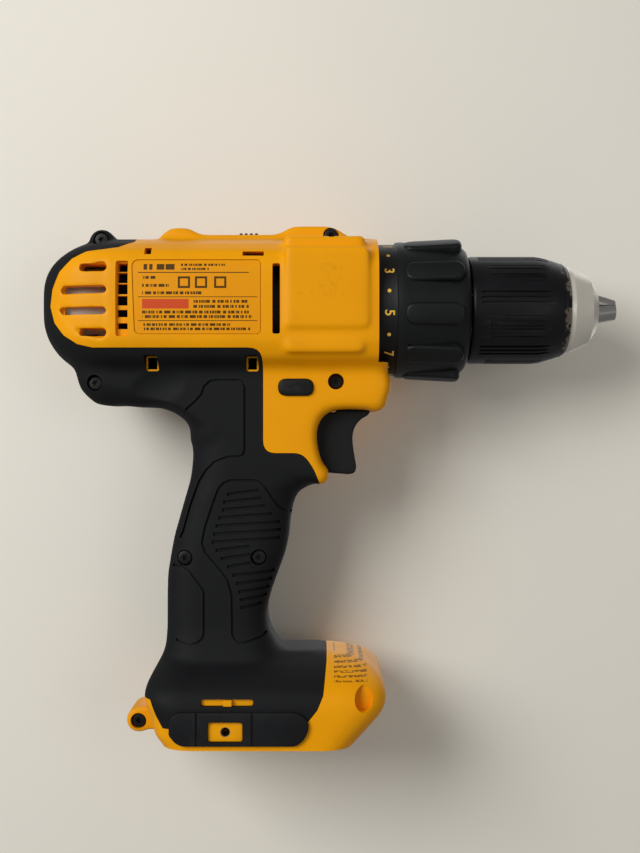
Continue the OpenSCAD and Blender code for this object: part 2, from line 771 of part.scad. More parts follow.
module led_lens()
    color("white") translate([12, 0, lamp_z]) rotate([0, 90, 0]) {
        cylinder(h = 8.5, r = 2.6);
        translate([0, 0, 8.5]) cylinder(h = 2, r1 = 2.6, r2 = 1.4);
    }

module lead_wires()
    color("firebrick") for (s = [-1, 1]) {
        sweep([[-30, 5 * s, switch_lo[2]], [-30, 5 * s, switch_lo[2] - 3],
            [-31, 5 * s, switch_lo[2] - 10], [-36, 5 * s, 72], [-42, 5 * s, 45],
            [-45, 5 * s, 28], [-46, 5 * s, channel_h + wall + 3],
            [-46, 5 * s, channel_h + wall]], 1.2, 8);
        sweep([[-38, 6 * s, switch_hi[2]], [-38, 6 * s, switch_hi[2] + 3],
            [-48, 6 * s, under_z - 4], [-72, 6 * s, axis_z - motor_r - 7.5],
            [-86, 6 * s, axis_z - motor_r - 5], [-89, 6 * s, axis_z - motor_r - 2],
            [-89, 6 * s, axis_z - motor_r + 0.62]], 1.2, 8);
    }

// ---- controls ----

module trigger()
    color("#1f2123") {
        outline = [for (p = [[-1.5, -37.6], [9, -37.3], [10.3, -34], [9.6, -29], [9, -24], [9.5, -20],
            [11, -17], [15, -14], [15.6, -12.4], [trigger_back, -12.4], [trigger_back, -37.6]])
            [p[0], under_z + p[1]]];
        side_slab(outline, trigger_half);
        translate([switch_x1 - 8, 0, stem_z]) rotate([0, 90, 0])
            cylinder(h = trigger_back - switch_x1 + 9, r = 1.9);
    }

module trigger_spring()
    color("silver") coil(switch_x1, trigger_back, stem_z, 3.4, 0.35, 4);

module direction_button()
    color("#1f2123") difference() {
        button_bar(0, belly_half + button_travel - 0.7);
        box([finger_x - finger_r - 0.5, -finger_r - 0.3, button_z - 5],
            [finger_x + finger_r + 0.5, finger_r + 0.3, button_z + 1.2]);
    }

module direction_lever()
    color("ivory") {
        translate([pivot_x, 0, switch_hi[2] + 0.3]) cylinder(h = 2.2, r = 3.5);
        box([pivot_x, -1.5, switch_hi[2] + 0.3], [finger_x, 1.5, switch_hi[2] + 2.5]);
        translate([finger_x, 0, switch_hi[2] + 0.3])
            cylinder(h = button_z - switch_hi[2] + 0.3, r = finger_r);
    }

// ---- clutch ----

module clutch_pins()
    color("silver") {
        push_pins(p3_x1 + 0.7, collar_x0 - 0.1);
        ring_x(collar_x0, spring_x0, collar_in - 0.2, tube_r + 0.1);
    }

module clutch_spring()
    color("silver") coil(spring_x0, nut_x0, axis_z, (tube_r + collar_in) / 2 - 0.1, 1.1, 5);

module clutch_nut()
    color("dimgray") difference() {
        union() {
            ring_x(nut_x0, nut_x0 + nut_t, collar_in - 0.4);
            for (a = planet_at) along_x(nut_x0) rotate([0, 0, a])
                translate([tube_r + 1, -2, 0]) cube([collar_in - tube_r + 0.2, 4, nut_t]);
        }
        ring_x(nut_x0 - 1, nut_x0 + nut_t + 1, tube_r + 2 * run);
    }

module clutch_collar()
    color("#222427") difference() {
        union() {
            spin_x([[collar_x0, collar_in], [collar_x0, barrel_r - 2], [collar_x0 + 6.5, barrel_r - 2],
                [collar_x0 + 7, barrel_r - 1.3], [collar_x0 + 11, barrel_r - 0.8],
                [collar_x1 - 5, barrel_r - 2.4], [collar_x1, barrel_r - 6], [collar_x1, tube_r + 1],
                [collar_x1 - 4, tube_r + 1], [collar_x1 - 4, collar_in]]);
            intersection() {
                spin_x([[collar_x0 + 9, ridge_in], [collar_x0 + 9, barrel_r - 0.8],
                    [collar_x0 + 11, barrel_r],
                        [collar_x1 - 4.5, barrel_r - 1.5], [collar_x1 - 2.5, barrel_r - 4],
                    [collar_x1 - 2.5, ridge_in]]);
                for (i = [0 : ridge_n - 1]) along_x(collar_x0) rotate([0, 0, i * 360 / ridge_n])
                    translate([ridge_in, -4, 0]) cube([12, 8, collar_l]);
            }
        }
        for (a = planet_at) along_x(collar_x0 + 10) rotate([0, 0, a])
            translate([collar_in - 3, -2.2, 0]) cube([4.6, 4.4, 18]);
    }

// ---- chuck ----

// Distance of a jaw's centre line from the chuck's axis at station x
function jaw_at(x) = tip_off + (tip_x - x) * tan(jaw_slope);
function jaw_edge(x) = jaw_at(x) + jaw_r / cos(jaw_slope);

module jaw_bar(a, grow, front, back)
    translate([0, 0, axis_z]) rotate([a, 0, 0]) translate([tip_x, 0, tip_off])
        rotate([0, jaw_slope - 90, 0]) translate([0, 0, -front])
            cylinder(h = front + back, r = jaw_r + grow);

module chuck_body()
    color("#b8b4aa") difference() {
        spin_x([[body_x0, spindle_r], [body_x0, core_r - 6], [body_x0 + 2, core_r - 6],
            [body_x0 + 2, core_r], [nut_in_x0 - 0.1, core_r],
            [nut_in_x0 - 0.1, jaw_edge(nut_in_x0) - 0.1],
            [nut_in_x0 + nut_in_t + 0.1, jaw_edge(nut_in_x0 + nut_in_t) - 0.1],
            [nut_in_x0 + nut_in_t + 0.1, lip_r], [chuck_x0 + 40.5, lip_r],
            [nose_end - 3, 13.5], [nose_end, 9], [nose_end, 6.4], [spindle_x1, 6.4],
            [spindle_x1, spindle_r]]);
        for (a = planet_at) jaw_bar(a, 0.1, 20, jaw_l + jaw_travel + 3);
    }

module chuck_sleeve()
    color("#1c1d1f")
        spin_x([[chuck_x0, core_r + run], [chuck_x0, sleeve_r - 0.8], [chuck_x0 + 1, sleeve_r],
            [chuck_x0 + 26, sleeve_r], [chuck_x0 + 31, sleeve_r - 0.9],
            [chuck_x0 + 35, sleeve_r - 2.3], [sleeve_x1, sleeve_r - 3.6], [sleeve_x1, lip_r + run],
            [lip_x, lip_r + run], [lip_x, core_r + run]]);

module chuck_nut()
    color("gray")
        spin_x([[nut_in_x0, jaw_edge(nut_in_x0) + 0.15], [nut_in_x0, core_r + run],
            [nut_in_x0 + nut_in_t, core_r + run],
            [nut_in_x0 + nut_in_t, jaw_edge(nut_in_x0 + nut_in_t) + 0.15]]);

module chuck_screw()
    color("dimgray") {
        ring_x(spindle_x1, spindle_x1 + 3, 4.5);
        ring_x(spindle_x1 - 13, spindle_x1 + eps, 2.9);
    }

module jaw(a)
    color("darkgray") intersection() {
        jaw_bar(a, 0, 20, jaw_l);
        translate([0, 0, axis_z]) rotate([a, 0, 0]) intersection() {
            // third of the round, so that the closed jaws meet on flats
            translate([0, 0, 0.1]) rotate([90, 0, 90]) linear_extrude(height = tip_x)
                polygon([[0, 0], [60 * sin(60), 60 * cos(60)], [0, 60], [-60 * sin(60), 60 * cos(60)]]);
            // outer corner that stays inside the sleeve when the chuck is open
            translate([0, 0, -jaw_open / 2]) rotate([0, 90, 0]) cylinder(h = tip_x, r = core_r - 0.05);
        }
    }

housing_right();
housing_left();
grip_right();
grip_left();
bumper_right();
bumper_left();
housing_screws();
side_labels();
gear_case();
clutch_ring_gear();
motor_plate();
motor_can();
motor_ring();
motor_magnets();
brush_end_bell();
carbon_brushes();
rotor_bearings();
switch_module();
terminal_block();
terminal_blades();
led_lens();
lead_wires();
hook_nuts();
clutch_pins();
clutch_spring();
spindle_bearings();
lock_ring();
trigger_spring();
trigger();
direction_button();
direction_lever();
speed_selector();
shift_yoke();
shift_ring_gear();
clutch_collar();
clutch_nut();
rotor_shaft();
armature();
commutator();
cooling_fan();
carrier_1();
carrier_2();
output_carrier();
spindle();
planet_1(0);  // planet_1a
planet_1(1);  // planet_1b
planet_1(2);  // planet_1c
planet_2(0);  // planet_2a
planet_2(1);  // planet_2b
planet_2(2);  // planet_2c
planet_3(0);  // planet_3a
planet_3(1);  // planet_3b
planet_3(2);  // planet_3c
chuck_body();
chuck_sleeve();
chuck_nut();
chuck_screw();
jaw(planet_at[0]);  // jaw_a
jaw(planet_at[1]);  // jaw_b
jaw(planet_at[2]);  // jaw_c
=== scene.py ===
import json
import math

import bpy
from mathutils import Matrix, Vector


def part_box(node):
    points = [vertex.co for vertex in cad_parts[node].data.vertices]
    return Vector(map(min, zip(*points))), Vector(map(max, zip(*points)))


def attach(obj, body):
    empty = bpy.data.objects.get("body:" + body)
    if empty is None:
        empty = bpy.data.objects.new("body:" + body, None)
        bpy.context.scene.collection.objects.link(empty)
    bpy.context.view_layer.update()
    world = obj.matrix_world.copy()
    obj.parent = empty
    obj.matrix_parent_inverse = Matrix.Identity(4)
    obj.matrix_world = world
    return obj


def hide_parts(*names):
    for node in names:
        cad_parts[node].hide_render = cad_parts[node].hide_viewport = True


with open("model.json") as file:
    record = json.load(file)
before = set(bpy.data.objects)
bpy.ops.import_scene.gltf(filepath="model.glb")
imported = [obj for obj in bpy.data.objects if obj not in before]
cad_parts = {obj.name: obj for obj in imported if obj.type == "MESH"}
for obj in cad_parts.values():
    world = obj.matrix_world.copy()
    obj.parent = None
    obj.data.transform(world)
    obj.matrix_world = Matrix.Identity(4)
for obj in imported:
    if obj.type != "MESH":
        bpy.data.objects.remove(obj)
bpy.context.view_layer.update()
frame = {"nodes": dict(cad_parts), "record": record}

# ---------------------------------------------------------------------------
# Standing place: a pale floor behind the drill, which lies on its left side,
# soft light from above its right side, and the camera square to that side.
# ---------------------------------------------------------------------------
mm = 0.001
axis_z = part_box("spindle")[0][2] + 6 * mm
scene = bpy.context.scene
scene.view_settings.view_transform = "Standard"


def deselect():
    """Leaves edit mode with nothing selected."""
    if bpy.context.object and bpy.context.object.mode == "EDIT":
        bpy.ops.object.mode_set(mode="OBJECT")
    bpy.ops.object.select_all(action="DESELECT")


class Socket:
    """A shader socket that can be written in sums and products."""

    def __init__(self, tree, link):
        self.tree, self.link = tree, link

    def maths(self, operation, other=0.0, third=0.0, swap=False):
        pair = [other, self] if swap else [self, other]
        return node(self.tree, "Math", {"operation": operation}, [*pair, third])

    def __add__(self, other): return self.maths("ADD", other)
    def __radd__(self, other): return self.maths("ADD", other, swap=True)
    def __sub__(self, other): return self.maths("SUBTRACT", other)
    def __rsub__(self, other): return self.maths("SUBTRACT", other, swap=True)
    def __mul__(self, other): return self.maths("MULTIPLY", other)
    def __rmul__(self, other): return self.maths("MULTIPLY", other, swap=True)
    def __truediv__(self, other): return self.maths("DIVIDE", other)
    def above(self, other): return self.maths("GREATER_THAN", other)
    def below(self, other): return self.maths("LESS_THAN", other)
    def clamp(self): return self.maths("MULTIPLY_ADD", 1.0, 0.0).clamped()

    def clamped(self):
        self.link.node.use_clamp = True
        return self


def node(tree, kind, settings=None, sockets=None, out=0):
    """Adds a shader node: settings first, then sockets by name or in order."""
    made = tree.nodes.new("ShaderNode" + kind)
    for key, value in (settings or {}).items():
        setattr(made, key, value)
    pairs = sockets.items() if isinstance(sockets, dict) else enumerate(sockets or [])
    for key, value in pairs:
        if isinstance(value, Socket):
            tree.links.new(value.link, made.inputs[key])
        elif value is not None and not made.inputs[key].is_linked:
            made.inputs[key].default_value = value
    return Socket(tree, made.outputs[out])


def srgb(red, green, blue):
    """Colour as painted, from 0 to 255, made linear."""
    parts = [c / 255 for c in (red, green, blue)]
    return (*[c / 12.92 if c < 0.04045 else ((c + 0.055) / 1.055) ** 2.4 for c in parts], 1.0)


class Finish:
    """A material in the making: its tree, its object coordinates and its shader."""

    def __init__(self, name, roughness=0.5, metallic=0.0, **uniform):
        self.material = bpy.data.materials.new(name)
        self.material.use_nodes = True
        self.tree = self.material.node_tree
        self.shader = self.tree.nodes["Principled BSDF"]
        self.shader.inputs["Roughness"].default_value = roughness
        self.shader.inputs["Metallic"].default_value = metallic
        for key, value in uniform.items():
            self.shader.inputs[key.replace("_", " ")].default_value = value
        self.place = self.add("TexCoord", out=3)

    def add(self, kind, settings=None, sockets=None, out=0):
        return node(self.tree, kind, settings, sockets, out)

    def noise(self, scale, detail=3.0, roughness=0.55, place=None):
        return self.add("TexNoise", {}, {"Vector": place or self.place, "Scale": scale,
                                         "Detail": detail, "Roughness": roughness})

    def grain(self, scale, place=None):
        return self.add("TexVoronoi", {}, {"Vector": place or self.place, "Scale": scale})

    def blend(self, amount, first, second, mode="MIX"):
        return self.add("Mix", {"data_type": "RGBA", "blend_type": mode},
                        {0: amount, 6: first, 7: second}, out=2)

    def edge(self, near=0.48, far=0.6):
        """1 on convex edges, 0 on flats, from the mesh's pointiness."""
        sharp = self.add("NewGeometry", out=7)
        return self.add("MapRange", {}, [sharp, near, far, 0.0, 1.0])

    def wire(self, colour=None, roughness=None, height=None, strength=0.3, distance=0.1 * mm):
        """Leads colour and roughness to the shader, and a height through a bump."""
        pairs = {"Base Color": colour, "Roughness": roughness}
        if height is not None:
            pairs["Normal"] = self.add("Bump", {}, {"Height": height, "Strength": strength,
                                                    "Distance": distance})
        for key, value in pairs.items():
            if isinstance(value, Socket):
                self.tree.links.new(value.link, self.shader.inputs[key])
            elif value is not None:
                self.shader.inputs[key].default_value = value
        return self.material


floor_finish = Finish("pale floor", roughness=0.7)
vein = floor_finish.noise(3.0, 5.0)
floor_finish.wire(colour=floor_finish.blend(vein, srgb(243, 238, 226), srgb(228, 223, 211)))
from_behind = floor_finish.add("NewGeometry", out=6)     # the floor hides nothing from behind
shown = floor_finish.add("MixShader", {}, [from_behind,
                                           Socket(floor_finish.tree, floor_finish.shader.outputs[0]),
                                           floor_finish.add("BsdfTransparent")])
floor_finish.tree.links.new(shown.link, floor_finish.tree.nodes["Material Output"].inputs[0])
deselect()
bpy.ops.mesh.primitive_plane_add(size=6, location=(0, 0.039, axis_z), rotation=(math.pi / 2, 0, 0))
floor = bpy.context.object
floor.name = "floor"
floor.data.materials.append(floor_finish.material)
floor.visible_shadow = False
floor.visible_diffuse = False
floor.visible_glossy = False

camera_data = bpy.data.cameras.new("camera")
camera_data.sensor_width = 36
camera_data.sensor_fit = "AUTO"
camera_data.lens = 47.5
camera = bpy.data.objects.new("camera", camera_data)
camera.location = (-4.3 * mm, -450 * mm, 119.7 * mm)
camera.rotation_euler = (math.pi / 2, 0, 0)
scene.collection.objects.link(camera)
scene.camera = camera


def soft_lamp(name, place, aim, size, power):
    lamp = bpy.data.lights.new(name, "AREA")
    lamp.size, lamp.energy = size, power
    holder = bpy.data.objects.new(name, lamp)
    holder.location = place
    holder.rotation_euler = (Vector(aim) - Vector(place)).to_track_quat("-Z", "Y").to_euler()
    scene.collection.objects.link(holder)


soft_lamp("window", (-0.68, -0.83, 0.52), (0, 0, 0.12), 0.6, 9.5)
soft_lamp("lamp above", (0.55, -0.95, 0.17), (0.1, 0, 0.166), 0.4, 0.9)
soft_lamp("bounce", (0.2, 0.8, 0.5), (0, 0, 0.12), 1.2, 4.5)
world = bpy.data.worlds.new("room")
world.use_nodes = True
world.node_tree.nodes["Background"].inputs[0].default_value = (0.9, 0.89, 0.87, 1)
world.node_tree.nodes["Background"].inputs[1].default_value = 0.3
scene.world = world

# ---------------------------------------------------------------------------
# Clamshell: two glass-filled nylon mouldings that meet on the middle plane,
# with soft rubber moulded over the handle and the rear. One body is roughed
# out, smoothed and halved, and each half is then cut into shell and rubber.
# ---------------------------------------------------------------------------


def finish_edit():
    """Closes seams, points all faces outwards and leaves edit mode."""
    bpy.ops.mesh.select_all(action="SELECT")
    bpy.ops.mesh.remove_doubles(threshold=1e-6)
    bpy.ops.mesh.normals_make_consistent(inside=False)
    bpy.ops.object.mode_set(mode="OBJECT")
    return bpy.context.object


def arc_corners(points, radius, steps=5):
    """Outline with every corner rounded to a radius, or to its own third value."""
    out = []
    count = len(points)
    for i, point in enumerate(points):
        own = point[2] if len(point) > 2 else radius
        here = Vector(point[:2])
        back, ahead = Vector(points[i - 1][:2]) - here, Vector(points[(i + 1) % count][:2]) - here
        reach = min(own, back.length * 0.49, ahead.length * 0.49)
        if reach < 0.05:
            out.append(tuple(here))
            continue
        start, end = here + back.normalized() * reach, here + ahead.normalized() * reach
        for k in range(steps + 1):
            t = k / steps
            out.append(tuple(start * (1 - t) ** 2 + here * 2 * t * (1 - t) + end * t ** 2))
    return out


def slab(outline, y0, y1, bevel=0.0, segments=4, radius=0.0):
    """A plate cut to a side outline of (x, z) in millimetres, between two sides."""
    points = arc_corners(outline, radius) if radius or any(len(p) > 2 for p in outline) else outline
    deselect()
    bpy.ops.mesh.primitive_circle_add(vertices=len(points), radius=mm, fill_type="NGON")
    plate = bpy.context.object
    for vertex, (x, z) in zip(plate.data.vertices, points):
        vertex.co = (x * mm, y0 * mm, z * mm)
    bpy.ops.object.mode_set(mode="EDIT")
    bpy.ops.mesh.select_all(action="SELECT")
    bpy.ops.mesh.extrude_region_move(TRANSFORM_OT_translate={"value": (0, (y1 - y0) * mm, 0)})
    if bevel:
        bpy.ops.mesh.select_all(action="DESELECT")
        bpy.ops.object.mode_set(mode="OBJECT")
        for edge in plate.data.edges:
            a, b = (plate.data.vertices[v].co.y for v in edge.vertices)
            edge.select = abs(a - b) < 1e-6
        bpy.ops.object.mode_set(mode="EDIT")
        bpy.ops.mesh.select_mode(type="EDGE")
        bpy.ops.mesh.bevel(offset=bevel * mm, segments=segments, affect="EDGES")
        bpy.ops.mesh.select_mode(type="VERT")
    return finish_edit()


def block(lo, hi):
    """A square block between two corners, in millimetres."""
    deselect()
    bpy.ops.mesh.primitive_cube_add(size=mm, location=[(a + b) / 2 * mm for a, b in zip(lo, hi)],
                                    scale=[b - a for a, b in zip(lo, hi)])
    bpy.ops.object.transform_apply()
    return bpy.context.object


def rod(x, y, z, radius, length, axis="Y", sides=32):
    """A round bar centred at a place, in millimetres."""
    turn = {"X": (0, math.pi / 2, 0), "Y": (math.pi / 2, 0, 0), "Z": (0, 0, 0)}[axis]
    deselect()
    bpy.ops.mesh.primitive_cylinder_add(vertices=sides, radius=radius * mm, depth=length * mm,
                                        location=(x * mm, y * mm, z * mm), rotation=turn)
    bpy.ops.object.transform_apply()
    return bpy.context.object


def stack(rings, corner=0.45, steps=6):
    """A body drawn up through level rings: (z, x rear, x front, half width), from a square with
    rounded corners.
    """
    deselect()
    bpy.ops.mesh.primitive_plane_add(size=2 * mm)
    body = bpy.context.object
    bpy.ops.object.mode_set(mode="EDIT")
    bpy.ops.mesh.select_all(action="SELECT")
    bpy.ops.mesh.bevel(offset=corner * mm, segments=steps, affect="VERTICES")
    bpy.ops.mesh.select_all(action="SELECT")
    at = Vector((0, 0, 0))
    size = Vector((1, 1))
    for i, (z, rear, front, half) in enumerate(rings):
        if i:
            bpy.ops.mesh.extrude_region_move()
        centre = Vector(((rear + front) / 2, 0, z))
        step = (centre - at) * mm
        bpy.ops.transform.translate(value=step)
        span = Vector(((front - rear) / 2, half))
        bpy.ops.transform.resize(value=(span.x / size.x, span.y / size.y, 1),
                                 center_override=centre * mm)
        at, size = centre, span
    return finish_edit()


def turned(profile, segments=96):
    """A round piece on the spindle axis, spun from (x, radius) points in millimetres."""
    deselect()
    mesh = bpy.data.meshes.new("profile")
    mesh.from_pydata([(x * mm, 0, axis_z + r * mm) for x, r in profile],
                     [(i, i + 1) for i in range(len(profile) - 1)], [])
    piece = bpy.data.objects.new("turned", mesh)
    scene.collection.objects.link(piece)
    bpy.context.view_layer.objects.active = piece
    piece.select_set(True)
    bpy.ops.object.mode_set(mode="EDIT")
    bpy.ops.mesh.select_all(action="SELECT")
    bpy.ops.mesh.spin(steps=segments, angle=2 * math.pi, center=(0, 0, axis_z), axis=(1, 0, 0))
    return finish_edit()


def join(pieces, name=None):
    """Several solids made one piece, kept as loose parts of one mesh."""
    deselect()
    for piece in pieces:
        piece.select_set(True)
    bpy.context.view_layer.objects.active = pieces[0]
    bpy.ops.object.join()
    if name:
        pieces[0].name = name
    return pieces[0]


def copy(piece, name=None):
    """A twin with its own mesh."""
    twin = piece.copy()
    twin.data = piece.data.copy()
    scene.collection.objects.link(twin)
    if name:
        twin.name = name
    return twin


def modify(piece, kind, **settings):
    """Puts one modifier on a piece and applies it."""
    deselect()
    piece.select_set(True)
    bpy.context.view_layer.objects.active = piece
    made = piece.modifiers.new(kind.title(), kind)
    for key, value in settings.items():
        setattr(made, key, value)
    bpy.ops.object.modifier_apply(modifier=made.name)
    return piece


def drop(piece):
    bpy.data.objects.remove(piece, do_unlink=True)


def cut(piece, tool, operation="DIFFERENCE", keep=False):
    """Cuts a tool out of a piece, or joins or intersects them, and drops the tool."""
    modify(piece, "BOOLEAN", object=tool, operation=operation, solver="MANIFOLD")
    if not keep:
        drop(tool)
    return piece


def offset(outline, by):
    """An outline of (x, z) points moved outwards by a distance."""
    points = [Vector(p[:2]) for p in outline]
    turn = sum(a.x * b.y - b.x * a.y for a, b in zip(points, points[1:] + points[:1]))
    way = by if turn > 0 else -by
    out = []
    for i, here in enumerate(points):
        before = (here - points[i - 1]).normalized()
        after = (points[(i + 1) % len(points)] - here).normalized()
        first, second = Vector((before.y, -before.x)), Vector((after.y, -after.x))
        out.append(tuple(here + (first + second) * way / max(0.4, 1 + first.dot(second))))
    return out


def ribbon(path, width, y0, y1):
    """A strip of even width along a path of (x, z) points, between two sides."""
    points = [Vector(p) for p in path]
    sides = [], []
    for i, here in enumerate(points):
        way = (points[min(i + 1, len(points) - 1)] - points[max(i - 1, 0)]).normalized()
        across = Vector((-way.y, way.x)) * width / 2
        sides[0].append(tuple(here + across))
        sides[1].append(tuple(here - across))
    return slab(sides[0] + sides[1][::-1], y0, y1)


def shrunk(piece, depth):
    """A copy with every face moved inwards."""
    return modify(copy(piece), "DISPLACE", strength=-depth * mm, mid_level=0)


Z = round(axis_z / mm, 3)      # height of the spindle axis in millimetres
parts = []
# barrel: rounded eight-sided section, closed at the rear by a dome
section = [(0, 27.6), (9, 27.2), (19, 24), (25.5, 20), (28.3, 14), (28.6, 0)]
half_section = section + [(y, -z) for y, z in section[-2::-1]]
ring = half_section + [(-y, z) for y, z in half_section[-2:0:-1]]
deselect()
bpy.ops.mesh.primitive_circle_add(vertices=len(ring), radius=mm, fill_type="NGON")
barrel = bpy.context.object
for vertex, (y, z) in zip(barrel.data.vertices, ring):
    vertex.co = (22 * mm, y * mm, (Z + z) * mm)
bpy.ops.object.mode_set(mode="EDIT")
bpy.ops.mesh.select_all(action="SELECT")
station, size = 22, 1.0
dome = [(-84, 1.0)] + [(-84 - 29 * math.sin(math.radians(a)),
                        0.1 + 0.9 * math.cos(math.radians(a)) ** 0.8) for a in range(12, 90, 6)]
for x, share in dome:
    bpy.ops.mesh.extrude_region_move(TRANSFORM_OT_translate={"value": ((x - station) * mm, 0, 0)})
    bpy.ops.transform.resize(value=(1, share / size, share / size),
                             center_override=(x * mm, 0, (Z + 1.5) * mm))
    station, size = x, share
parts.append(finish_edit())
# belly under the barrel, and the nose that carries the lamp
belly_line = [(-97, 150, 3), (-98.6, 139, 8), (-93.5, 130.8, 8), (-80, 127.6, 8),
              (-64, 127.2, 6), (-54.6, 121, 9), (-50, 111, 4), (-30, 111, 4), (-30, 150, 3)]
parts.append(slab(belly_line, -18.6, 18.6, bevel=8, segments=6, radius=1))
nose_line = [(-45, 150, 1), (-45, 118, 3), (-26, 103, 6), (-12, 98.4, 3), (-3, 98.6, 1),
             (-1.6, 100.9, 1), (-3.5, 105.5, 2), (-4.9, 110), (-5.9, 116), (-5, 121.5),
             (-2, 125.4), (4, 126.6), (19.3, 126.1, 2), (22, 131, 4), (23.4, 136.8, 4),
             (20.8, 141.6, 3), (17.6, 145, 2), (17.6, 152, 2)]
parts.append(slab(nose_line, -18.6, 18.6, bevel=3.2, segments=5))
# foot, then handle, each drawn up ring by ring
foot_rings = [(-6, -62, 2.6, 35.2), (0, -63, 8, 35.2), (1.2, -64.5, 9.2, 35.2),
              (4, -66.8, 11.8, 35.2), (8, -67.6, 15.5, 35.2), (11.5, -68.4, 18.6, 35.2),
              (15, -70.4, 20.6, 35.2), (18, -71, 20.8, 34.6), (21.5, -70.4, 20.4, 32.6),
              (25, -68.8, 18.6, 28), (28.5, -67, 14.6, 21.5), (31, -65.8, 8, 15.5),
              (32.6, -65, -4, 12)]
handle_rings = [(20, -67, -8, 22), (28, -66.4, -14, 20), (35, -64.8, -21.5, 18.2),
                (41, -64.4, -24.6, 17), (47, -64.4, -25.4, 16.8), (54, -64.4, -23.8, 16.8),
                (62, -64.2, -21, 17), (70, -62.9, -18, 17.2), (77, -61.6, -16.5, 17.2),
                (84, -59.6, -15.9, 17.2), (90, -57.9, -14.7, 17.4), (94.5, -56.6, -12.7, 17.7),
                (97, -55.8, -7.5, 17.9), (99, -55.3, -3.8, 18), (102, -54.8, -4.2, 18.2),
                (108, -54.2, -6, 18.3), (118, -54.6, -6, 18.3), (130, -62, -3, 17.6)]
parts.append(stack(foot_rings, corner=0.3, steps=6))
parts.append(stack(handle_rings, corner=0.6, steps=8))
base = join(parts)
modify(base, "REMESH", mode="VOXEL", voxel_size=1.3 * mm)
modify(base, "SMOOTH", factor=0.5, iterations=7)
# a shallow thumb hollow on each side of the belly
for side in (-1, 1):
    deselect()
    bpy.ops.mesh.primitive_uv_sphere_add(segments=48, ring_count=24, radius=1)
    thumb = bpy.context.object
    thumb.scale = (13 * mm, 4 * mm, 7.5 * mm)
    thumb.rotation_euler = (0, math.radians(-14), 0)
    thumb.location = (-67 * mm, 20.9 * side * mm, 134.5 * mm)
    bpy.ops.object.transform_apply()
    cut(base, thumb)
parts = [base]
# rail on top, raised front panel and its two ribs, screw lugs
rail_line = [(-69, 184), (-69, 191, 1), (-67, 194.6, 3), (-63, 197.9, 3), (-56, 197.9, 3),
             (-51.5, 195.2, 3), (-20.5, 195.2, 3), (-15.5, 198.5, 3), (1, 198.5, 6),
             (7.5, 193.8, 4), (17.5, 193.6, 3), (17.5, 184)]
parts.append(slab(rail_line, -9, 9, bevel=1.6))
parts.append(slab([(-17.5, 156.5, 2), (14.5, 156.5, 3), (14.5, 187.3, 3), (-17.5, 187.3, 2)],
                  -29.7, 29.7, bevel=1.4, radius=2))
for low, high, out in ((147.3, 154.2, 28.6), (187.4, 192.2, 24)):
    rib = [(-18, low, 3.4), (12.8, low, 3.4), (12.8, high, 3.4), (-18, high, 3.4)]
    parts.append(slab(rib, -out, out, bevel=1.6))
parts.append(rod(-90, 0, 192.2, 5, 17))
parts.append(rod(-75.2, 0, 4.9, 4.9, 20))
parts.append(block((-75, -10, 1), (-62, 10, 10)))
body = join(parts, "body")
modify(body, "REMESH", mode="VOXEL", voxel_size=0.75 * mm)
modify(body, "SMOOTH", factor=0.5, iterations=6)
# rear grille: a pocket with three rounded bars across it, softened with the rest
bars = [[(-106, z - 2.6, 2.4), (-82, z - 2.9, 2.4), (-82, z + 2.9, 2.4), (-106, z + 2.6, 2.4)]
        for z in (175.4, 167.2, 159.4)]
grille = [(-84.6, 153, 2), (-84.6, 182, 2), (-92, 180.6, 5), (-98, 177.5, 6), (-102.6, 171.5, 6),
          (-103.6, 166, 6), (-102, 160.5, 6), (-98, 156.4, 6), (-92, 153.6, 5)]
skin, floor_of_pocket = shrunk(body, 0.2), shrunk(body, 3)
for side in (-1, 1):
    pocket = cut(slab(grille, 60 * side, 14 * side), floor_of_pocket, keep=True)
    cut(body, pocket)
    for bar in bars:
        cut(body, cut(slab(bar, 60 * side, 14 * side), skin, "INTERSECT", keep=True), "UNION")
drop(skin)
drop(floor_of_pocket)
modify(body, "REMESH", mode="VOXEL", voxel_size=0.7 * mm)
modify(body, "SMOOTH", factor=0.5, iterations=4)
half = cut(body, block((-130, -60, 0), (60, -0.06, 230)), "INTERSECT")
cut(half, block((17.9, -60, 144.2), (60, 1, 230)))
cut(half, block((-130, -60, -20), (60, 1, 0.02)))
core, film_face, deep = shrunk(half, 0.9), shrunk(half, 0.3), shrunk(half, 1.8)
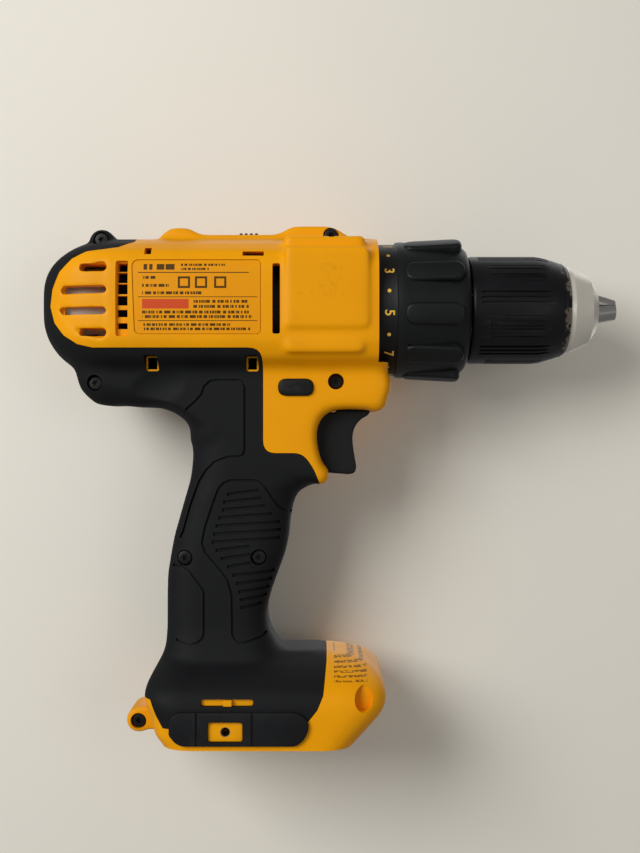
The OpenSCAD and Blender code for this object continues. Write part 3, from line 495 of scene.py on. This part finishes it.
# hollows for the motor, the gear case, the collar, the switch, the wires and the battery
motor_room, gear_room, collar_room, vent_room = 20.5, 25.1, 26.4, 24.6
hook_x, hook_z, nut_hole = -39.2, 7.1, 3.05
channel = cut(block((-56, -26, -1), (60, 1, 14.5)), block((-50, -26.5, 2.5), (4, -22.5, 6.5)))
handle_room = stack([(17.2, -58, -34, 13), (45, -58, -32, 12.5), (60, -51, -33, 12.5),
                     (78, -51, -33, 12.8), (90, -50, -20, 13), (131.8, -50, -10, 13)], corner=0.2)
for hollow in (rod(-76.5, 0, Z, motor_room, 57, "X", 96),
               rod(-14, 0, Z, gear_room, 70, "X", 96),
               rod(-78.6, 0, Z, vent_room, 6.8, "X", 96), rod(-90, 0, Z, 22, 12, "X", 96),
               rod(24, 0, Z, collar_room, 12.2, "X", 96),
               block((-84, -13.5, 131.7), (-8, 1, 150)), block((-93, -13.5, 139.7), (-83, 1, 150)),
               handle_room, channel, block((-50.2, -9.2, 13), (-41.8, 1, 17.6)),
               block((-44, -13.4, 99.9), (-16, 1, 126)),
               slab([(-16.5, 100.4), (-16.5, 127), (32, 127), (32, 100.4)], -9.9, 1),
               rod(14, 0, 131.7, 2.65, 20, "X"), rod(hook_x, -40, hook_z, nut_hole, 30),
               slab(arc_corners([(-20.4, 131.4), (-6.7, 131.4), (-6.7, 138.1), (-20.4, 138.1)],
                                3.3), -60, -10),
               block((-52, -7.4, 193.2), (-20, 1, 210)), block((-41.6, -3.4, 180), (-30.4, 1, 200))):
    cut(half, hollow)
label_line = [(-74, 155.3, 1.8), (-72.6, 154.3, 1.8), (-27.5, 154.3, 1.8), (-26.5, 155.3, 1.8),
              (-26.5, 181.5, 1.8), (-27.5, 182.5, 1.8), (-73.6, 182.5, 1.8), (-75, 181, 1.8)]
label_bed = cut(slab(label_line, -60, -16), core, keep=True)
film = cut(slab(offset(arc_corners(label_line, 1.8), -0.25), -60, -16), film_face, "INTERSECT",
           keep=True)
cut(film, core, keep=True)
film.name = "right_label"
# grooves moulded into the rubber: three long lines and the finger ribs
lines = [
    [(-56, 126), (-52, 129.5), (-49.8, 132), (-48.6, 135.2), (-46.6, 137), (-44, 137.5),
     (-36, 137.5), (-34, 136.8), (-33.2, 135), (-33.2, 110.8), (-33.8, 109), (-35.4, 108.2),
     (-40, 108), (-45, 106), (-48.5, 102.5), (-51, 98.5), (-54.5, 89), (-57.3, 79), (-58.6, 76.5)],
    [(-14.5, 86.5), (-18, 87), (-20.5, 89), (-23, 92.5), (-25.5, 96.6), (-27.4, 98.4),
     (-29.8, 99), (-38.6, 99), (-41.4, 98), (-43.4, 95.6), (-45.5, 90), (-48.5, 81), (-49.7, 75),
     (-48.6, 71.6), (-43, 65), (-40, 61), (-38.3, 55), (-38, 40), (-37, 37.8), (-35.4, 36.8),
     (-33.5, 36.6), (-27, 38.5), (-25, 40)],
    [(-61.5, 66), (-57, 65.7), (-54.6, 64.2), (-50, 58), (-49, 56), (-49, 40), (-49.6, 38.1),
     (-51.4, 36.6), (-54, 36), (-60, 37.5)]]
finger_ribs = [(94.5, -40, -28), (91.5, -41.5, -27), (88.5, -42, -25.5), (85.4, -43.5, -23),
               (82.3, -44.5, -20), (79.2, -45.5, -19.5), (76.1, -46, -20), (72.9, -44.5, -31.5),
               (69.7, -42.5, -31), (66.5, -40, -31), (63.3, -38, -22), (60.1, -36.6, -23),
               (56.9, -35.8, -24), (53.8, -35.3, -25), (50.7, -35, -27)]
grooves = [ribbon(path, 1.0, -60, -4) for path in lines]
grooves += [ribbon([(x0, z - 0.9), (x1, z + 0.7)], 1.3, -60, -4) for z, x0, x1 in finger_ribs]
grooves = [cut(groove, core, keep=True) for groove in grooves]
rubber_line = [(-76, 215), (-76, 190.8), (-81, 188), (-87, 187), (-93, 186.3), (-98.5, 183.5),
               (-103.5, 178.5), (-106.6, 172), (-107.6, 165.5), (-105.6, 159), (-101.5, 154),
               (-96, 150.6), (-90, 149.2), (-26.3, 149.2, 5), (-26.3, 109.3, 5), (-11, 109.3, 4),
               (-7, 103.5, 2), (-5.6, 100.2, 1), (-4.6, 97.4), (7, 97.4), (7, 45), (-1.5, 45),
               (-2, 30), (-3.3, 20), (-5.5, 15), (-8.7, 11), (-12, 8), (-62.5, 8), (-65, 12),
               (-67.5, 18), (-85, 19), (-120, 60), (-120, 215)]
zone = arc_corners(rubber_line, 0.01)
rubber = cut(copy(half), slab(zone, -60, 60), "INTERSECT")
shell = cut(half, slab(offset(zone, 0.22), -60, 60))
for groove in grooves:
    cut(rubber, groove)
cut(shell, label_bed)
# openings: grille slots, second column, cooling slot by the gear case, small windows
for z, x0, x1 in ((179.6, -95, -84.8), (171.3, -101.5, -84.8), (163.3, -101.5, -84.8),
                  (155.2, -95, -84.8)):
    cut(shell, slab(arc_corners([(x0, z - 1.5), (x1, z - 1.5), (x1, z + 1.5), (x0, z + 1.5)], 1.4),
                    -60, -12))
column = cut(slab([(-81, 153.6, 1), (-76.3, 153.6, 1), (-76.3, 182, 1), (-81, 182, 1)], -60, -10),
             deep, keep=True)
cut(shell, column)
for low, high in ((156.9, 158), (161.4, 163), (165.8, 168.2), (170, 172.7), (174.2, 177),
                  (178.4, 180.6)):
    cut(shell, block((-80.6, -60, low - 0.6), (-76.7, -12, high + 0.6)))
cut(shell, slab(arc_corners([(-22.2, 154.5), (-19.3, 154.5), (-19.3, 181), (-22.2, 181)], 0.8),
                -60, -14))
for x0, x1, z0, z1 in ((-70.6, -68, 184.6, 187.4), (-33.5, -25.5, 184, 185.8)):
    cut(shell, block((x0, -60, z0), (x1, -12, z1)))
# yellow-rimmed windows in the belly, and the hook slot over the side pad
frames = []
for x0, x1, z0, z1, rim, depth in ((-71, -65.9, 140.8, 146.8, 0.8, 14.5),
                                   (-32.6, -27.7, 140.7, 146.7, 0.8, 14.5),
                                   (-48.5, -29, 16.2, 18.8, 0, 31),
                                   (-45.8, -32.7, 3.5, 11, 0, 29)):
    hole = [(x0, z0), (x1, z0), (x1, z1), (x0, z1)]
    cut(rubber, slab(arc_corners(hole, 1), -60, -depth))
    if rim:
        frame_piece = slab(offset(arc_corners(hole, 1), -0.12), -18.4, -depth)
        frames.append(cut(frame_piece, slab(offset(arc_corners(hole, 1), -rim), -60, 0)))
    elif z0 > 10:
        frames.append(slab(offset(arc_corners(hole, 1), -0.12), -33, -depth))
        frames.append(slab([(-40, 16.4), (-37, 16.4), (-37, 18.6), (-40, 18.6)], -34.9, -33))
    else:
        cut(shell, slab(arc_corners(hole, 1), -60, -depth))
        insert = slab(offset(arc_corners(hole, 1), -0.1), -35.6, -depth, bevel=0.3)
        cut(insert, rod(hook_x, -32, hook_z, nut_hole, 6.4))
        frames.append(cut(insert, rod(hook_x, -35, hook_z, 1.9, 20)))
# oval well in the foot's nose
cut(shell, slab([(12 + 3.5 * math.cos(a / 4), 18.5 + 4.65 * math.sin(a / 4)) for a in range(25)],
                -60, -29))
# the left half is the mirror image; only the right half takes the screws
shell = join([shell, *frames])
halves = {"right_shell": shell, "right_rubber": rubber, "right_label": film}
for name, piece in list(halves.items()):
    piece.name = name
    twin = copy(piece, name.replace("right", "left"))
    twin.scale.y = -1
    deselect()
    twin.select_set(True)
    bpy.context.view_layer.objects.active = twin
    bpy.ops.object.transform_apply()
    bpy.ops.object.mode_set(mode="EDIT")
    finish_edit()
    halves[twin.name] = twin
# case screws as (x, z, depth of the seat), each in a well and a bore
well_r, bore_r = 3.1, 1.5
screws = [(-90, 193, 6), (-91, 136.5, 13), (0, 194.7, 6), (1.8, 137, 13),
          (-56.5, 69, 12.2), (-28, 69.3, 13), (-75.3, 4.6, 6.5)]
wells = join([rod(x, -30 - seat, z, well_r, 60) for x, z, seat in screws])
bores = join([rod(x, 0, z, bore_r, 2 * seat + 4.2) for x, z, seat in screws])
for name in ("right_shell", "right_rubber"):
    cut(halves[name], wells, keep=True)
for name in ("right_shell", "right_rubber", "left_shell", "left_rubber"):
    cut(halves[name], bores, keep=True)
drop(wells)
drop(bores)
for tool in (core, film_face, deep):
    drop(tool)


def moulded(name, main, patch, edge_colour, roughness=0.5, grain=1400, bump=0.25, edge_wear_and_highlight=0.35,
            metallic=0.0, paint=None, **uniform):
    """A moulded, cast or ground surface: patches, fine grain, and lighter convex edges that are
    partly rubbed wear and partly a painted highlight.
    """
    finish = Finish(name, roughness, metallic, **uniform)
    broad = finish.noise(45, 4)
    fine = finish.noise(grain, 2, 0.6)
    pits = finish.grain(grain * 0.8)
    edges = finish.edge(0.5, 0.62) * finish.noise(260, 3).maths("MULTIPLY_ADD", 1.6, -0.2).clamped()
    colour = finish.blend((broad * 1.6 - 0.45).clamp(), main, patch)
    if paint:
        colour = paint(finish, colour)
    # convex edges lightened towards the edge colour: partly rubbed wear, partly a painted highlight
    # standing in for the light caught by rounded edges
    colour = finish.blend((edges * edge_wear_and_highlight).clamp(), colour, edge_colour)
    rough = broad * 0.16 + fine * 0.1 + (roughness - 0.13) - edges * 0.08
    finish.wire(colour=colour, roughness=rough, height=fine * 0.6 + pits * 0.4, strength=bump,
                distance=0.06 * mm)
    return finish.material


def within(value, low, high):
    return value.above(low) * value.below(high)


def side_marks(finish, colour):
    """Handling smudges on the front panel and a small printed strip on the foot."""
    split = finish.add("SeparateXYZ", {}, [finish.place])
    x, z = split, Socket(finish.tree, split.link.node.outputs[2])
    panel = within(x, -0.014, 0.010) * within(z, 0.168, 0.181)
    specks = ((finish.noise(520, 5, 0.7) - 0.5) * 5).clamp() * finish.noise(70, 2).above(0.52)
    colour = finish.blend(panel * specks * 0.2, colour, srgb(120, 92, 30))
    dirt = finish.noise(22, 5, 0.65)
    colour = finish.blend(((dirt - 0.55) * 1.2).clamp(), colour, srgb(196, 136, 18))
    strip = within(x, 0.001, 0.0135) * within(z, 0.024, 0.032)
    row_pitch = 0.0013
    rows = (z / row_pitch).maths("FRACT").above(0.5)
    words = finish.add("TexNoise", {"noise_dimensions": "2D"}, {
        "Vector": finish.add("Mapping", {}, {0: finish.place, 3: (900, 900, 620)}),
        "Scale": 1.0, "Detail": 1.0}).above(0.45)
    return finish.blend(strip * rows * words * 0.75, colour, srgb(70, 52, 12))


def dress(piece, finish, slot_name, body_name, *stands_for, angle=30):
    """Smooths a finished piece, gives it its material and its body, and names the solids it shows."""
    deselect()
    piece.select_set(True)
    bpy.context.view_layer.objects.active = piece
    bpy.ops.object.shade_smooth_by_angle(angle=math.radians(angle))
    piece.data.materials.clear()
    piece.data.materials.append(finish)
    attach(piece, body_name)
    if stands_for:
        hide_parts(*stands_for)
        replaced.update(stands_for)


yellow = moulded("yellow nylon", srgb(242, 163, 0), srgb(234, 153, 0), srgb(246, 184, 30),
                 roughness=0.46, grain=1500, bump=0.22, edge_wear_and_highlight=0.3, paint=side_marks,
                 Specular_IOR_Level=0.13)
rubber_finish = moulded("soft black rubber", srgb(15, 16, 18), srgb(22, 23, 25), srgb(46, 47, 49),
                        roughness=0.66, grain=1100, bump=0.35, edge_wear_and_highlight=0.35, Specular_IOR_Level=0.17)
replaced = set()
for side in ("right", "left"):
    dress(halves[side + "_shell"], yellow, "yellow_shell", "housing", "housing_" + side, angle=35)
    dress(halves[side + "_rubber"], rubber_finish, "grip_rubber", "housing", "grip_" + side, angle=35)

# ---------------------------------------------------------------------------
# Side labels: one printed plastic film on each side of the barrel, stuck in its
# shallow bed. Its surface was parted from the body with the shells above.
# ---------------------------------------------------------------------------


def label_print(finish, colour):
    """Rules, a red block and rows of short bars, in place of any wording."""
    split = finish.add("SeparateXYZ", {}, [finish.place])
    x, z = split * 1000, Socket(finish.tree, split.link.node.outputs[2]) * 1000
    ink = within(x, -72.5, -31) * within(z, 177.3, 177.65)
    for height in (168.3, 159.4):
        ink = ink + within(x, -72.5, -27.8) * within(z, height - 0.14, height + 0.14)
    for height, tall, start, end in (
            (179.6, 2.2, -70.5, -58.5), (180.4, 0.9, -56.5, -40), (178.8, 0.9, -56.5, -46),
            (175.6, 1.1, -70.8, -66), (172.6, 1.1, -71, -61), (169.8, 1.1, -71, -48),
            (166.6, 1.1, -52, -31.5), (164.7, 1.1, -52, -31), (162.6, 1.1, -71, -31),
            (160.9, 1.1, -71, -29.8), (157.9, 1.0, -70.5, -38), (156.3, 1.0, -70.5, -30.5)):
        letters = finish.add("TexNoise", {"noise_dimensions": "1D"}, {
            "W": x * (1.1 / tall) + height, "Scale": 1.0, "Detail": 2.0}, 0).above(0.46)
        ink = ink + within(x, start, end) * within(z, height - tall / 2, height + tall / 2) * letters
    for start in (-57.6, -51.2, -44):
        ink = ink + within(x, start, start + 4.6) * within(z, 171.6, 176) * \
            (1 - within(x, start + 0.8, start + 3.8) * within(z, 172.4, 175.2))
    colour = finish.blend(within(x, -71, -53.5) * within(z, 163.9, 167.5) * 0.9, colour,
                          srgb(205, 62, 38))
    return finish.blend(ink.clamp() * 0.93, colour, srgb(44, 32, 8))


film_finish = moulded("printed label film", srgb(236, 155, 0), srgb(229, 147, 0),
                      srgb(240, 174, 36), roughness=0.4, grain=500, bump=0.08, edge_wear_and_highlight=0.2,
                      paint=label_print, Specular_IOR_Level=0.16)
for side in ("right", "left"):
    dress(halves[side + "_label"], film_finish, "label_film", "housing", "side_labels", angle=35)

# ---------------------------------------------------------------------------
# Side pads: soft rubber pads glued over the foot's sides, each with two
# grooves and a window that leaves the threaded nut of the belt hook free.
# ---------------------------------------------------------------------------
pad_line = [(-60, 8, 1), (-60, 6, 2), (-57.5, 3, 2), (-55, 2, 2), (-13, 2, 2), (-10, 4.5, 2),
            (-8.5, 8, 2), (-8.5, 10.5, 2), (-10, 13, 2), (-13, 14.5, 2), (-57, 14.5, 2),
            (-60, 12, 2)]
window = [(-45.8, 3.5), (-32.7, 3.5), (-32.7, 11), (-45.8, 11)]
pad_in, pad_out, groove_floor = 34.7, 36.9, 36.4
for side_name, side in (("right", -1), ("left", 1)):
    pad = slab(pad_line, pad_in * side, pad_out * side, bevel=0.6, segments=3)
    cut(pad, slab(arc_corners(window, 1.5), -60, 60))
    for x in (-49.8, -29.3):
        cut(pad, block((x - 0.4, min(groove_floor * side, 38 * side), -1),
                       (x + 0.4, max(groove_floor * side, 38 * side), 18)))
    pad.name = side_name + "_pad"
    dress(pad, rubber_finish, "grip_rubber", "housing", "bumper_" + side_name)

# ---------------------------------------------------------------------------
# Case screws: seven black pan-head screws with six-lobe recesses, driven from
# the right side into the left half.
# ---------------------------------------------------------------------------
head_r, head_t, shank_r = 2.7, 2.4, 1.42
recess_r, lobe = 1.05, 0.25
heads = []
for x, z, seat in screws:
    head = rod(x, -seat - head_t / 2, z, head_r, head_t, sides=40)
    modify(head, "BEVEL", width=0.4 * mm, segments=3, limit_method="ANGLE")
    lobes = [(x + (recess_r + lobe * math.cos(6 * a)) * math.cos(a),
              z + (recess_r + lobe * math.cos(6 * a)) * math.sin(a))
             for a in (k * math.pi / 30 for k in range(60))]
    heads.append(cut(head, slab(lobes, -seat - 4, -seat - 1)))
    heads.append(rod(x, 0.9, z, shank_r, 2 * seat + 1.9, sides=20))
case_screws = join(heads, "case_screws")
black_screw = moulded("black zinc screws", srgb(30, 30, 31), srgb(40, 39, 38), srgb(90, 88, 84),
                      roughness=0.42, grain=1800, bump=0.12, edge_wear_and_highlight=0.4, metallic=0.8)
dress(case_screws, black_screw, "screw_steel", "housing", "housing_screws")

# ---------------------------------------------------------------------------
# Trigger, direction button and speed selector: black nylon mouldings that
# slide in the housing.
# ---------------------------------------------------------------------------
trigger_line = [(15.6, 126.3, 0.4), (14.9, 124.3, 1), (11.3, 122.3, 2.5), (9.2, 119.4, 4),
                (8.4, 116, 6), (8.7, 111.9, 6), (9.5, 106.8, 5), (10.1, 103.8, 1.5),
                (9.4, 101.5, 1.2), (7.4, 100.9, 1), (-1.8, 101.6, 0.5), (-8, 101.6), (-8, 125.3),
                (2, 125.3), (2, 126.3)]
trigger_half, stem_z, stem_r, pocket_r = 9.5, 114, 1.88, 3.95
trigger = slab(trigger_line, -trigger_half, trigger_half)
modify(trigger, "REMESH", mode="VOXEL", voxel_size=0.4 * mm)
modify(trigger, "SMOOTH", factor=0.5, iterations=10)
cut(trigger, rod(-4.6, 0, stem_z, pocket_r, 7.2, "X", 48))      # goes over the spring
trigger = join([trigger, rod(-13, 0, stem_z, stem_r, 25, "X")], "finger_trigger")

button_line = arc_corners([(-20.2, 131.5), (-6.9, 131.5), (-6.9, 138), (-20.2, 138)], 3.2, 8)
button = slab(button_line, -20, 20, bevel=0.7, segments=3)
cut(button, block((-15.7, -2, 130), (-11.3, 2, 136.4)))
arrow_x, arrow_z = -13.5, 134.7
for side in (-1, 1):      # an arrow in each end, one forwards and one backwards
    arrow = [(arrow_x + 3 * side, arrow_z), (arrow_x - 1.2 * side, arrow_z - 1.7),
             (arrow_x - 1.2 * side, arrow_z + 1.7)]
    cut(button, slab(arrow, min(19.7 * side, 22 * side), max(19.7 * side, 22 * side)))
button.name = "direction_slider"

selector = slab([(-44.5, 193.35), (-20.6, 193.35), (-20.6, 194.6), (-44.5, 194.6)], -7.1, 7.1,
                bevel=0.25, segments=2)
ridges = [slab([(x - 0.8, 194), (x + 0.8, 194), (x + 0.55, 195.9), (x - 0.55, 195.9)], -6.4, 6.4,
               bevel=0.3, segments=2) for x in (-35.4, -33.4, -31.4, -29.4)]
selector = join([selector, *ridges, block((-34, -3, 191), (-31, 3, 193.4))], "gear_selector")

control_black = moulded("black spark-grained nylon", srgb(14, 14, 15), srgb(20, 20, 21),
                        srgb(46, 47, 48), roughness=0.5, grain=1300, bump=0.3, edge_wear_and_highlight=0.4,
                        Specular_IOR_Level=0.22)
dress(trigger, control_black, "black_plastic", "trigger", "trigger")
dress(button, control_black, "black_plastic", "direction_button", "direction_button")
dress(selector, control_black, "black_plastic", "selector", "speed_selector")

# ---------------------------------------------------------------------------
# Clutch collar: a moulded black ring with ten rounded ridges, and a printed
# scale of numbers round its rear edge.
# ---------------------------------------------------------------------------


def swing(piece, degrees):
    """Turns a piece about the spindle axis, from the right side upwards."""
    deselect()
    piece.select_set(True)
    bpy.context.view_layer.objects.active = piece
    bpy.ops.transform.rotate(value=math.radians(degrees), orient_axis="X",
                             center_override=(0, 0, axis_z))
    bpy.ops.object.transform_apply()
    return piece


collar = turned([(18.3, 19.3), (18.3, 25.7), (18.6, 26), (24.6, 26), (25, 26.2), (25.4, 26.8),
                 (27, 27), (29, 26.9), (44, 26.1), (49.5, 25.4), (51.6, 24.7), (52.9, 23.6),
                 (53.4, 22.4), (53.5, 21.5), (53.5, 13), (49.5, 13), (49.5, 19.3), (18.3, 19.3)],
                128)
ridge_count, ridge_half, ridge_rear, ridge_front, ridge_top = 10, 4.2, 27.8, 50.6, 27.95
ridge_line = arc_corners([(ridge_rear, Z - ridge_half), (ridge_front, Z - ridge_half),
                          (ridge_front, Z + ridge_half), (ridge_rear, Z + ridge_half)],
                         ridge_half, 7)
for k in range(ridge_count):
    ridge = slab(ridge_line, -ridge_top, -19.8, bevel=1.3, segments=4)
    bpy.ops.transform.rotate(value=math.radians(3.2), orient_axis="Z",
                             center_override=(38 * mm, -27.9 * mm, axis_z))
    bpy.ops.object.transform_apply()
    cut(collar, swing(ridge, 360 / ridge_count * k - 8), "UNION")
for k in range(3):      # slots that the clutch nut slides in
    cut(collar, swing(block((28.2, -20.9, Z - 2.3), (46.4, -15, Z + 2.3)), 120 * k + 90))
collar.name = "torque_collar"
figures = []
scale_step, scale_x, scale_r = 18.5, 21.9, 25.97
for n in range(1, 17):      # odd numbers, with a dot for each even one
    deselect()
    if n % 2:
        bpy.ops.object.text_add()
        figure = bpy.context.object
        figure.data.body = str(n)
        figure.data.size = 5.2 * mm
        figure.data.align_x = figure.data.align_y = "CENTER"
        figure.data.extrude = 0.1 * mm
        figure.data.offset = 0.07 * mm
        bpy.ops.object.convert(target="MESH")
    else:
        bpy.ops.mesh.primitive_cylinder_add(vertices=20, radius=0.72 * mm, depth=0.2 * mm)
        figure = bpy.context.object
    figure.rotation_euler = (math.pi / 2, math.pi / 2, 0)
    figure.location = (scale_x * mm, -scale_r * mm, axis_z)
    bpy.ops.object.transform_apply()
    figures.append(swing(figure, 85 - scale_step * n))
figures = join(figures, "torque_numbers")
collar_finish = moulded("collar nylon", srgb(11, 13, 14), srgb(16, 18, 20), srgb(46, 48, 50),
                        roughness=0.46, grain=1500, bump=0.25, edge_wear_and_highlight=0.4, Specular_IOR_Level=0.24)
print_finish = moulded("yellow printing", srgb(240, 190, 60), srgb(228, 172, 44),
                       srgb(246, 204, 96), roughness=0.5, grain=900, bump=0.1, edge_wear_and_highlight=0.2)
dress(collar, collar_finish, "collar_black", "collar", "clutch_collar")
dress(figures, print_finish, "collar_black", "collar")

# ---------------------------------------------------------------------------
# Chuck sleeve: one black moulded sleeve with groups of long grooves between
# finely ribbed panels, pressed over the ring nut.
# ---------------------------------------------------------------------------


def chipped(finish, colour):
    """Plastic rubbed and chipped along the sleeve's front edge."""
    x = finish.add("SeparateXYZ", {}, [finish.place])
    front = ((x - 0.0875) * 220).clamp()
    chips = (finish.noise(240, 5, 0.7) + front * 0.2).above(0.66) * front
    return finish.blend(chips * 0.85, colour, srgb(120, 108, 92))


sleeve = turned([(54.1, 18.65), (54.1, 20.4), (54.4, 20.9), (55, 21.2), (55.6, 21.3), (80, 21.3),
                 (82.5, 21), (85, 20.4), (88, 19.5), (91, 18.5), (92, 18), (92.7, 17.5),
                 (92.7, 17.05), (91, 17.05), (91, 18.65), (54.1, 18.65)], 144)
groups, groove_half, fine_half = 6, 0.55, 0.3
groove_line = arc_corners([(57.5, Z - groove_half), (86, Z - groove_half),
                           (86, Z + groove_half), (57.5, Z + groove_half)], 0.5, 3)
flutes = []
for group in range(groups):
    start = 360 / groups * group
    for k in range(3):
        flutes.append(swing(slab(groove_line, -24, -20.3), start + 5.6 * (k - 1) + 8))
    for k in range(9):
        fine = block((61, -24, Z - fine_half), (84, -20.75, Z + fine_half))
        flutes.append(swing(fine, start + 2.9 * (k - 4) + 38))
cut(sleeve, join(flutes))
sleeve.name = "grip_sleeve"
sleeve_finish = moulded("sleeve nylon", srgb(10, 11, 14), srgb(14, 15, 18), srgb(70, 68, 66),
                        roughness=0.4, grain=1200, bump=0.2, edge_wear_and_highlight=0.45, paint=chipped,
                        Specular_IOR_Level=0.22)
dress(sleeve, sleeve_finish, "sleeve_black", "sleeve", "chuck_sleeve")

# ---------------------------------------------------------------------------
# Inner and metal pieces, which keep the frame's shapes: gear case, motor,
# gears, wiring, clutch parts, chuck body and jaws, each with its own metal.
# ---------------------------------------------------------------------------


def turned_metal(name, light, dark, roughness, ring=2600, edge_wear_and_highlight=0.5, metallic=1.0):
    """Ground or turned metal: fine rings round the axis, stains, and bright edges that are partly
    worn bare metal and partly a painted highlight.
    """
    finish = Finish(name, roughness, metallic)
    split = finish.add("SeparateXYZ", {}, [finish.place])
    rings = finish.add("TexNoise", {"noise_dimensions": "1D"},
                       {"W": split * ring, "Scale": 1.0, "Detail": 3.0})
    stain = finish.noise(90, 5, 0.6)
    spots = finish.noise(700, 3, 0.7)
    edges = finish.edge(0.5, 0.62)
    colour = finish.blend((stain * 1.5 - 0.4).clamp(), light, dark)
    # bright convex edges: partly worn bare metal, partly a painted highlight
    colour = finish.blend((edges * edge_wear_and_highlight).clamp(), colour, srgb(214, 210, 204))
    finish.wire(colour=colour, roughness=rings * 0.2 + stain * 0.14 + (roughness - 0.17),
                height=rings * 0.7 + spots * 0.3, strength=0.18, distance=0.03 * mm)
    return finish.material


inner = {
    "chuck_steel": turned_metal("chuck steel", srgb(226, 221, 208), srgb(206, 200, 186), 0.34,
                                metallic=0.4),
    "jaw_steel": turned_metal("jaw steel", srgb(128, 126, 124), srgb(96, 95, 94), 0.36, ring=900),
    "shaft_steel": turned_metal("ground steel", srgb(188, 188, 186), srgb(160, 160, 160), 0.28),
    "gear_steel": turned_metal("sintered steel", srgb(140, 138, 134), srgb(112, 110, 106), 0.42),
    "can_steel": turned_metal("zinc-plated can", srgb(232, 230, 226), srgb(214, 212, 208), 0.4,
                              ring=700, metallic=0.3),
    "nut_zinc": turned_metal("die-cast zinc", srgb(160, 160, 162), srgb(130, 130, 132), 0.48),
    "bush_bronze": turned_metal("bronze and brass", srgb(196, 152, 92), srgb(160, 118, 66), 0.36),
    "spring_steel": turned_metal("spring wire", srgb(170, 170, 174), srgb(130, 130, 134), 0.34),
    "winding": moulded("enamelled copper", srgb(150, 78, 34), srgb(112, 56, 26),
                       srgb(200, 120, 60), roughness=0.35, grain=600, bump=0.5, metallic=0.8),
    "case_nylon": control_black,
    "grip_rubber": rubber_finish,
    "magnet": moulded("sintered ferrite", srgb(52, 52, 56), srgb(40, 40, 44), srgb(96, 96, 98),
                      roughness=0.62, grain=1100, bump=0.4),
    "white_plastic": moulded("white nylon", srgb(226, 224, 214), srgb(214, 210, 198),
                             srgb(240, 240, 236), roughness=0.5, grain=1200, bump=0.2),
    "black_plastic": control_black,
    "wire_red": moulded("red wire insulation", srgb(176, 26, 22), srgb(150, 20, 18),
                        srgb(206, 70, 60), roughness=0.38, grain=500, bump=0.1),
    "lens_clear": moulded("clear lens", srgb(235, 238, 240), srgb(225, 230, 234),
                          srgb(250, 250, 250), roughness=0.16, grain=300, bump=0.03,
                          Transmission_Weight=0.9, IOR=1.49)}
for entry in frame["record"]["subparts"]:
    if entry["node"] in replaced:
        continue
    for holder in frame["nodes"][entry["node"]].material_slots:
        holder.material = inner.get(entry["material_slot"], inner["shaft_steel"])
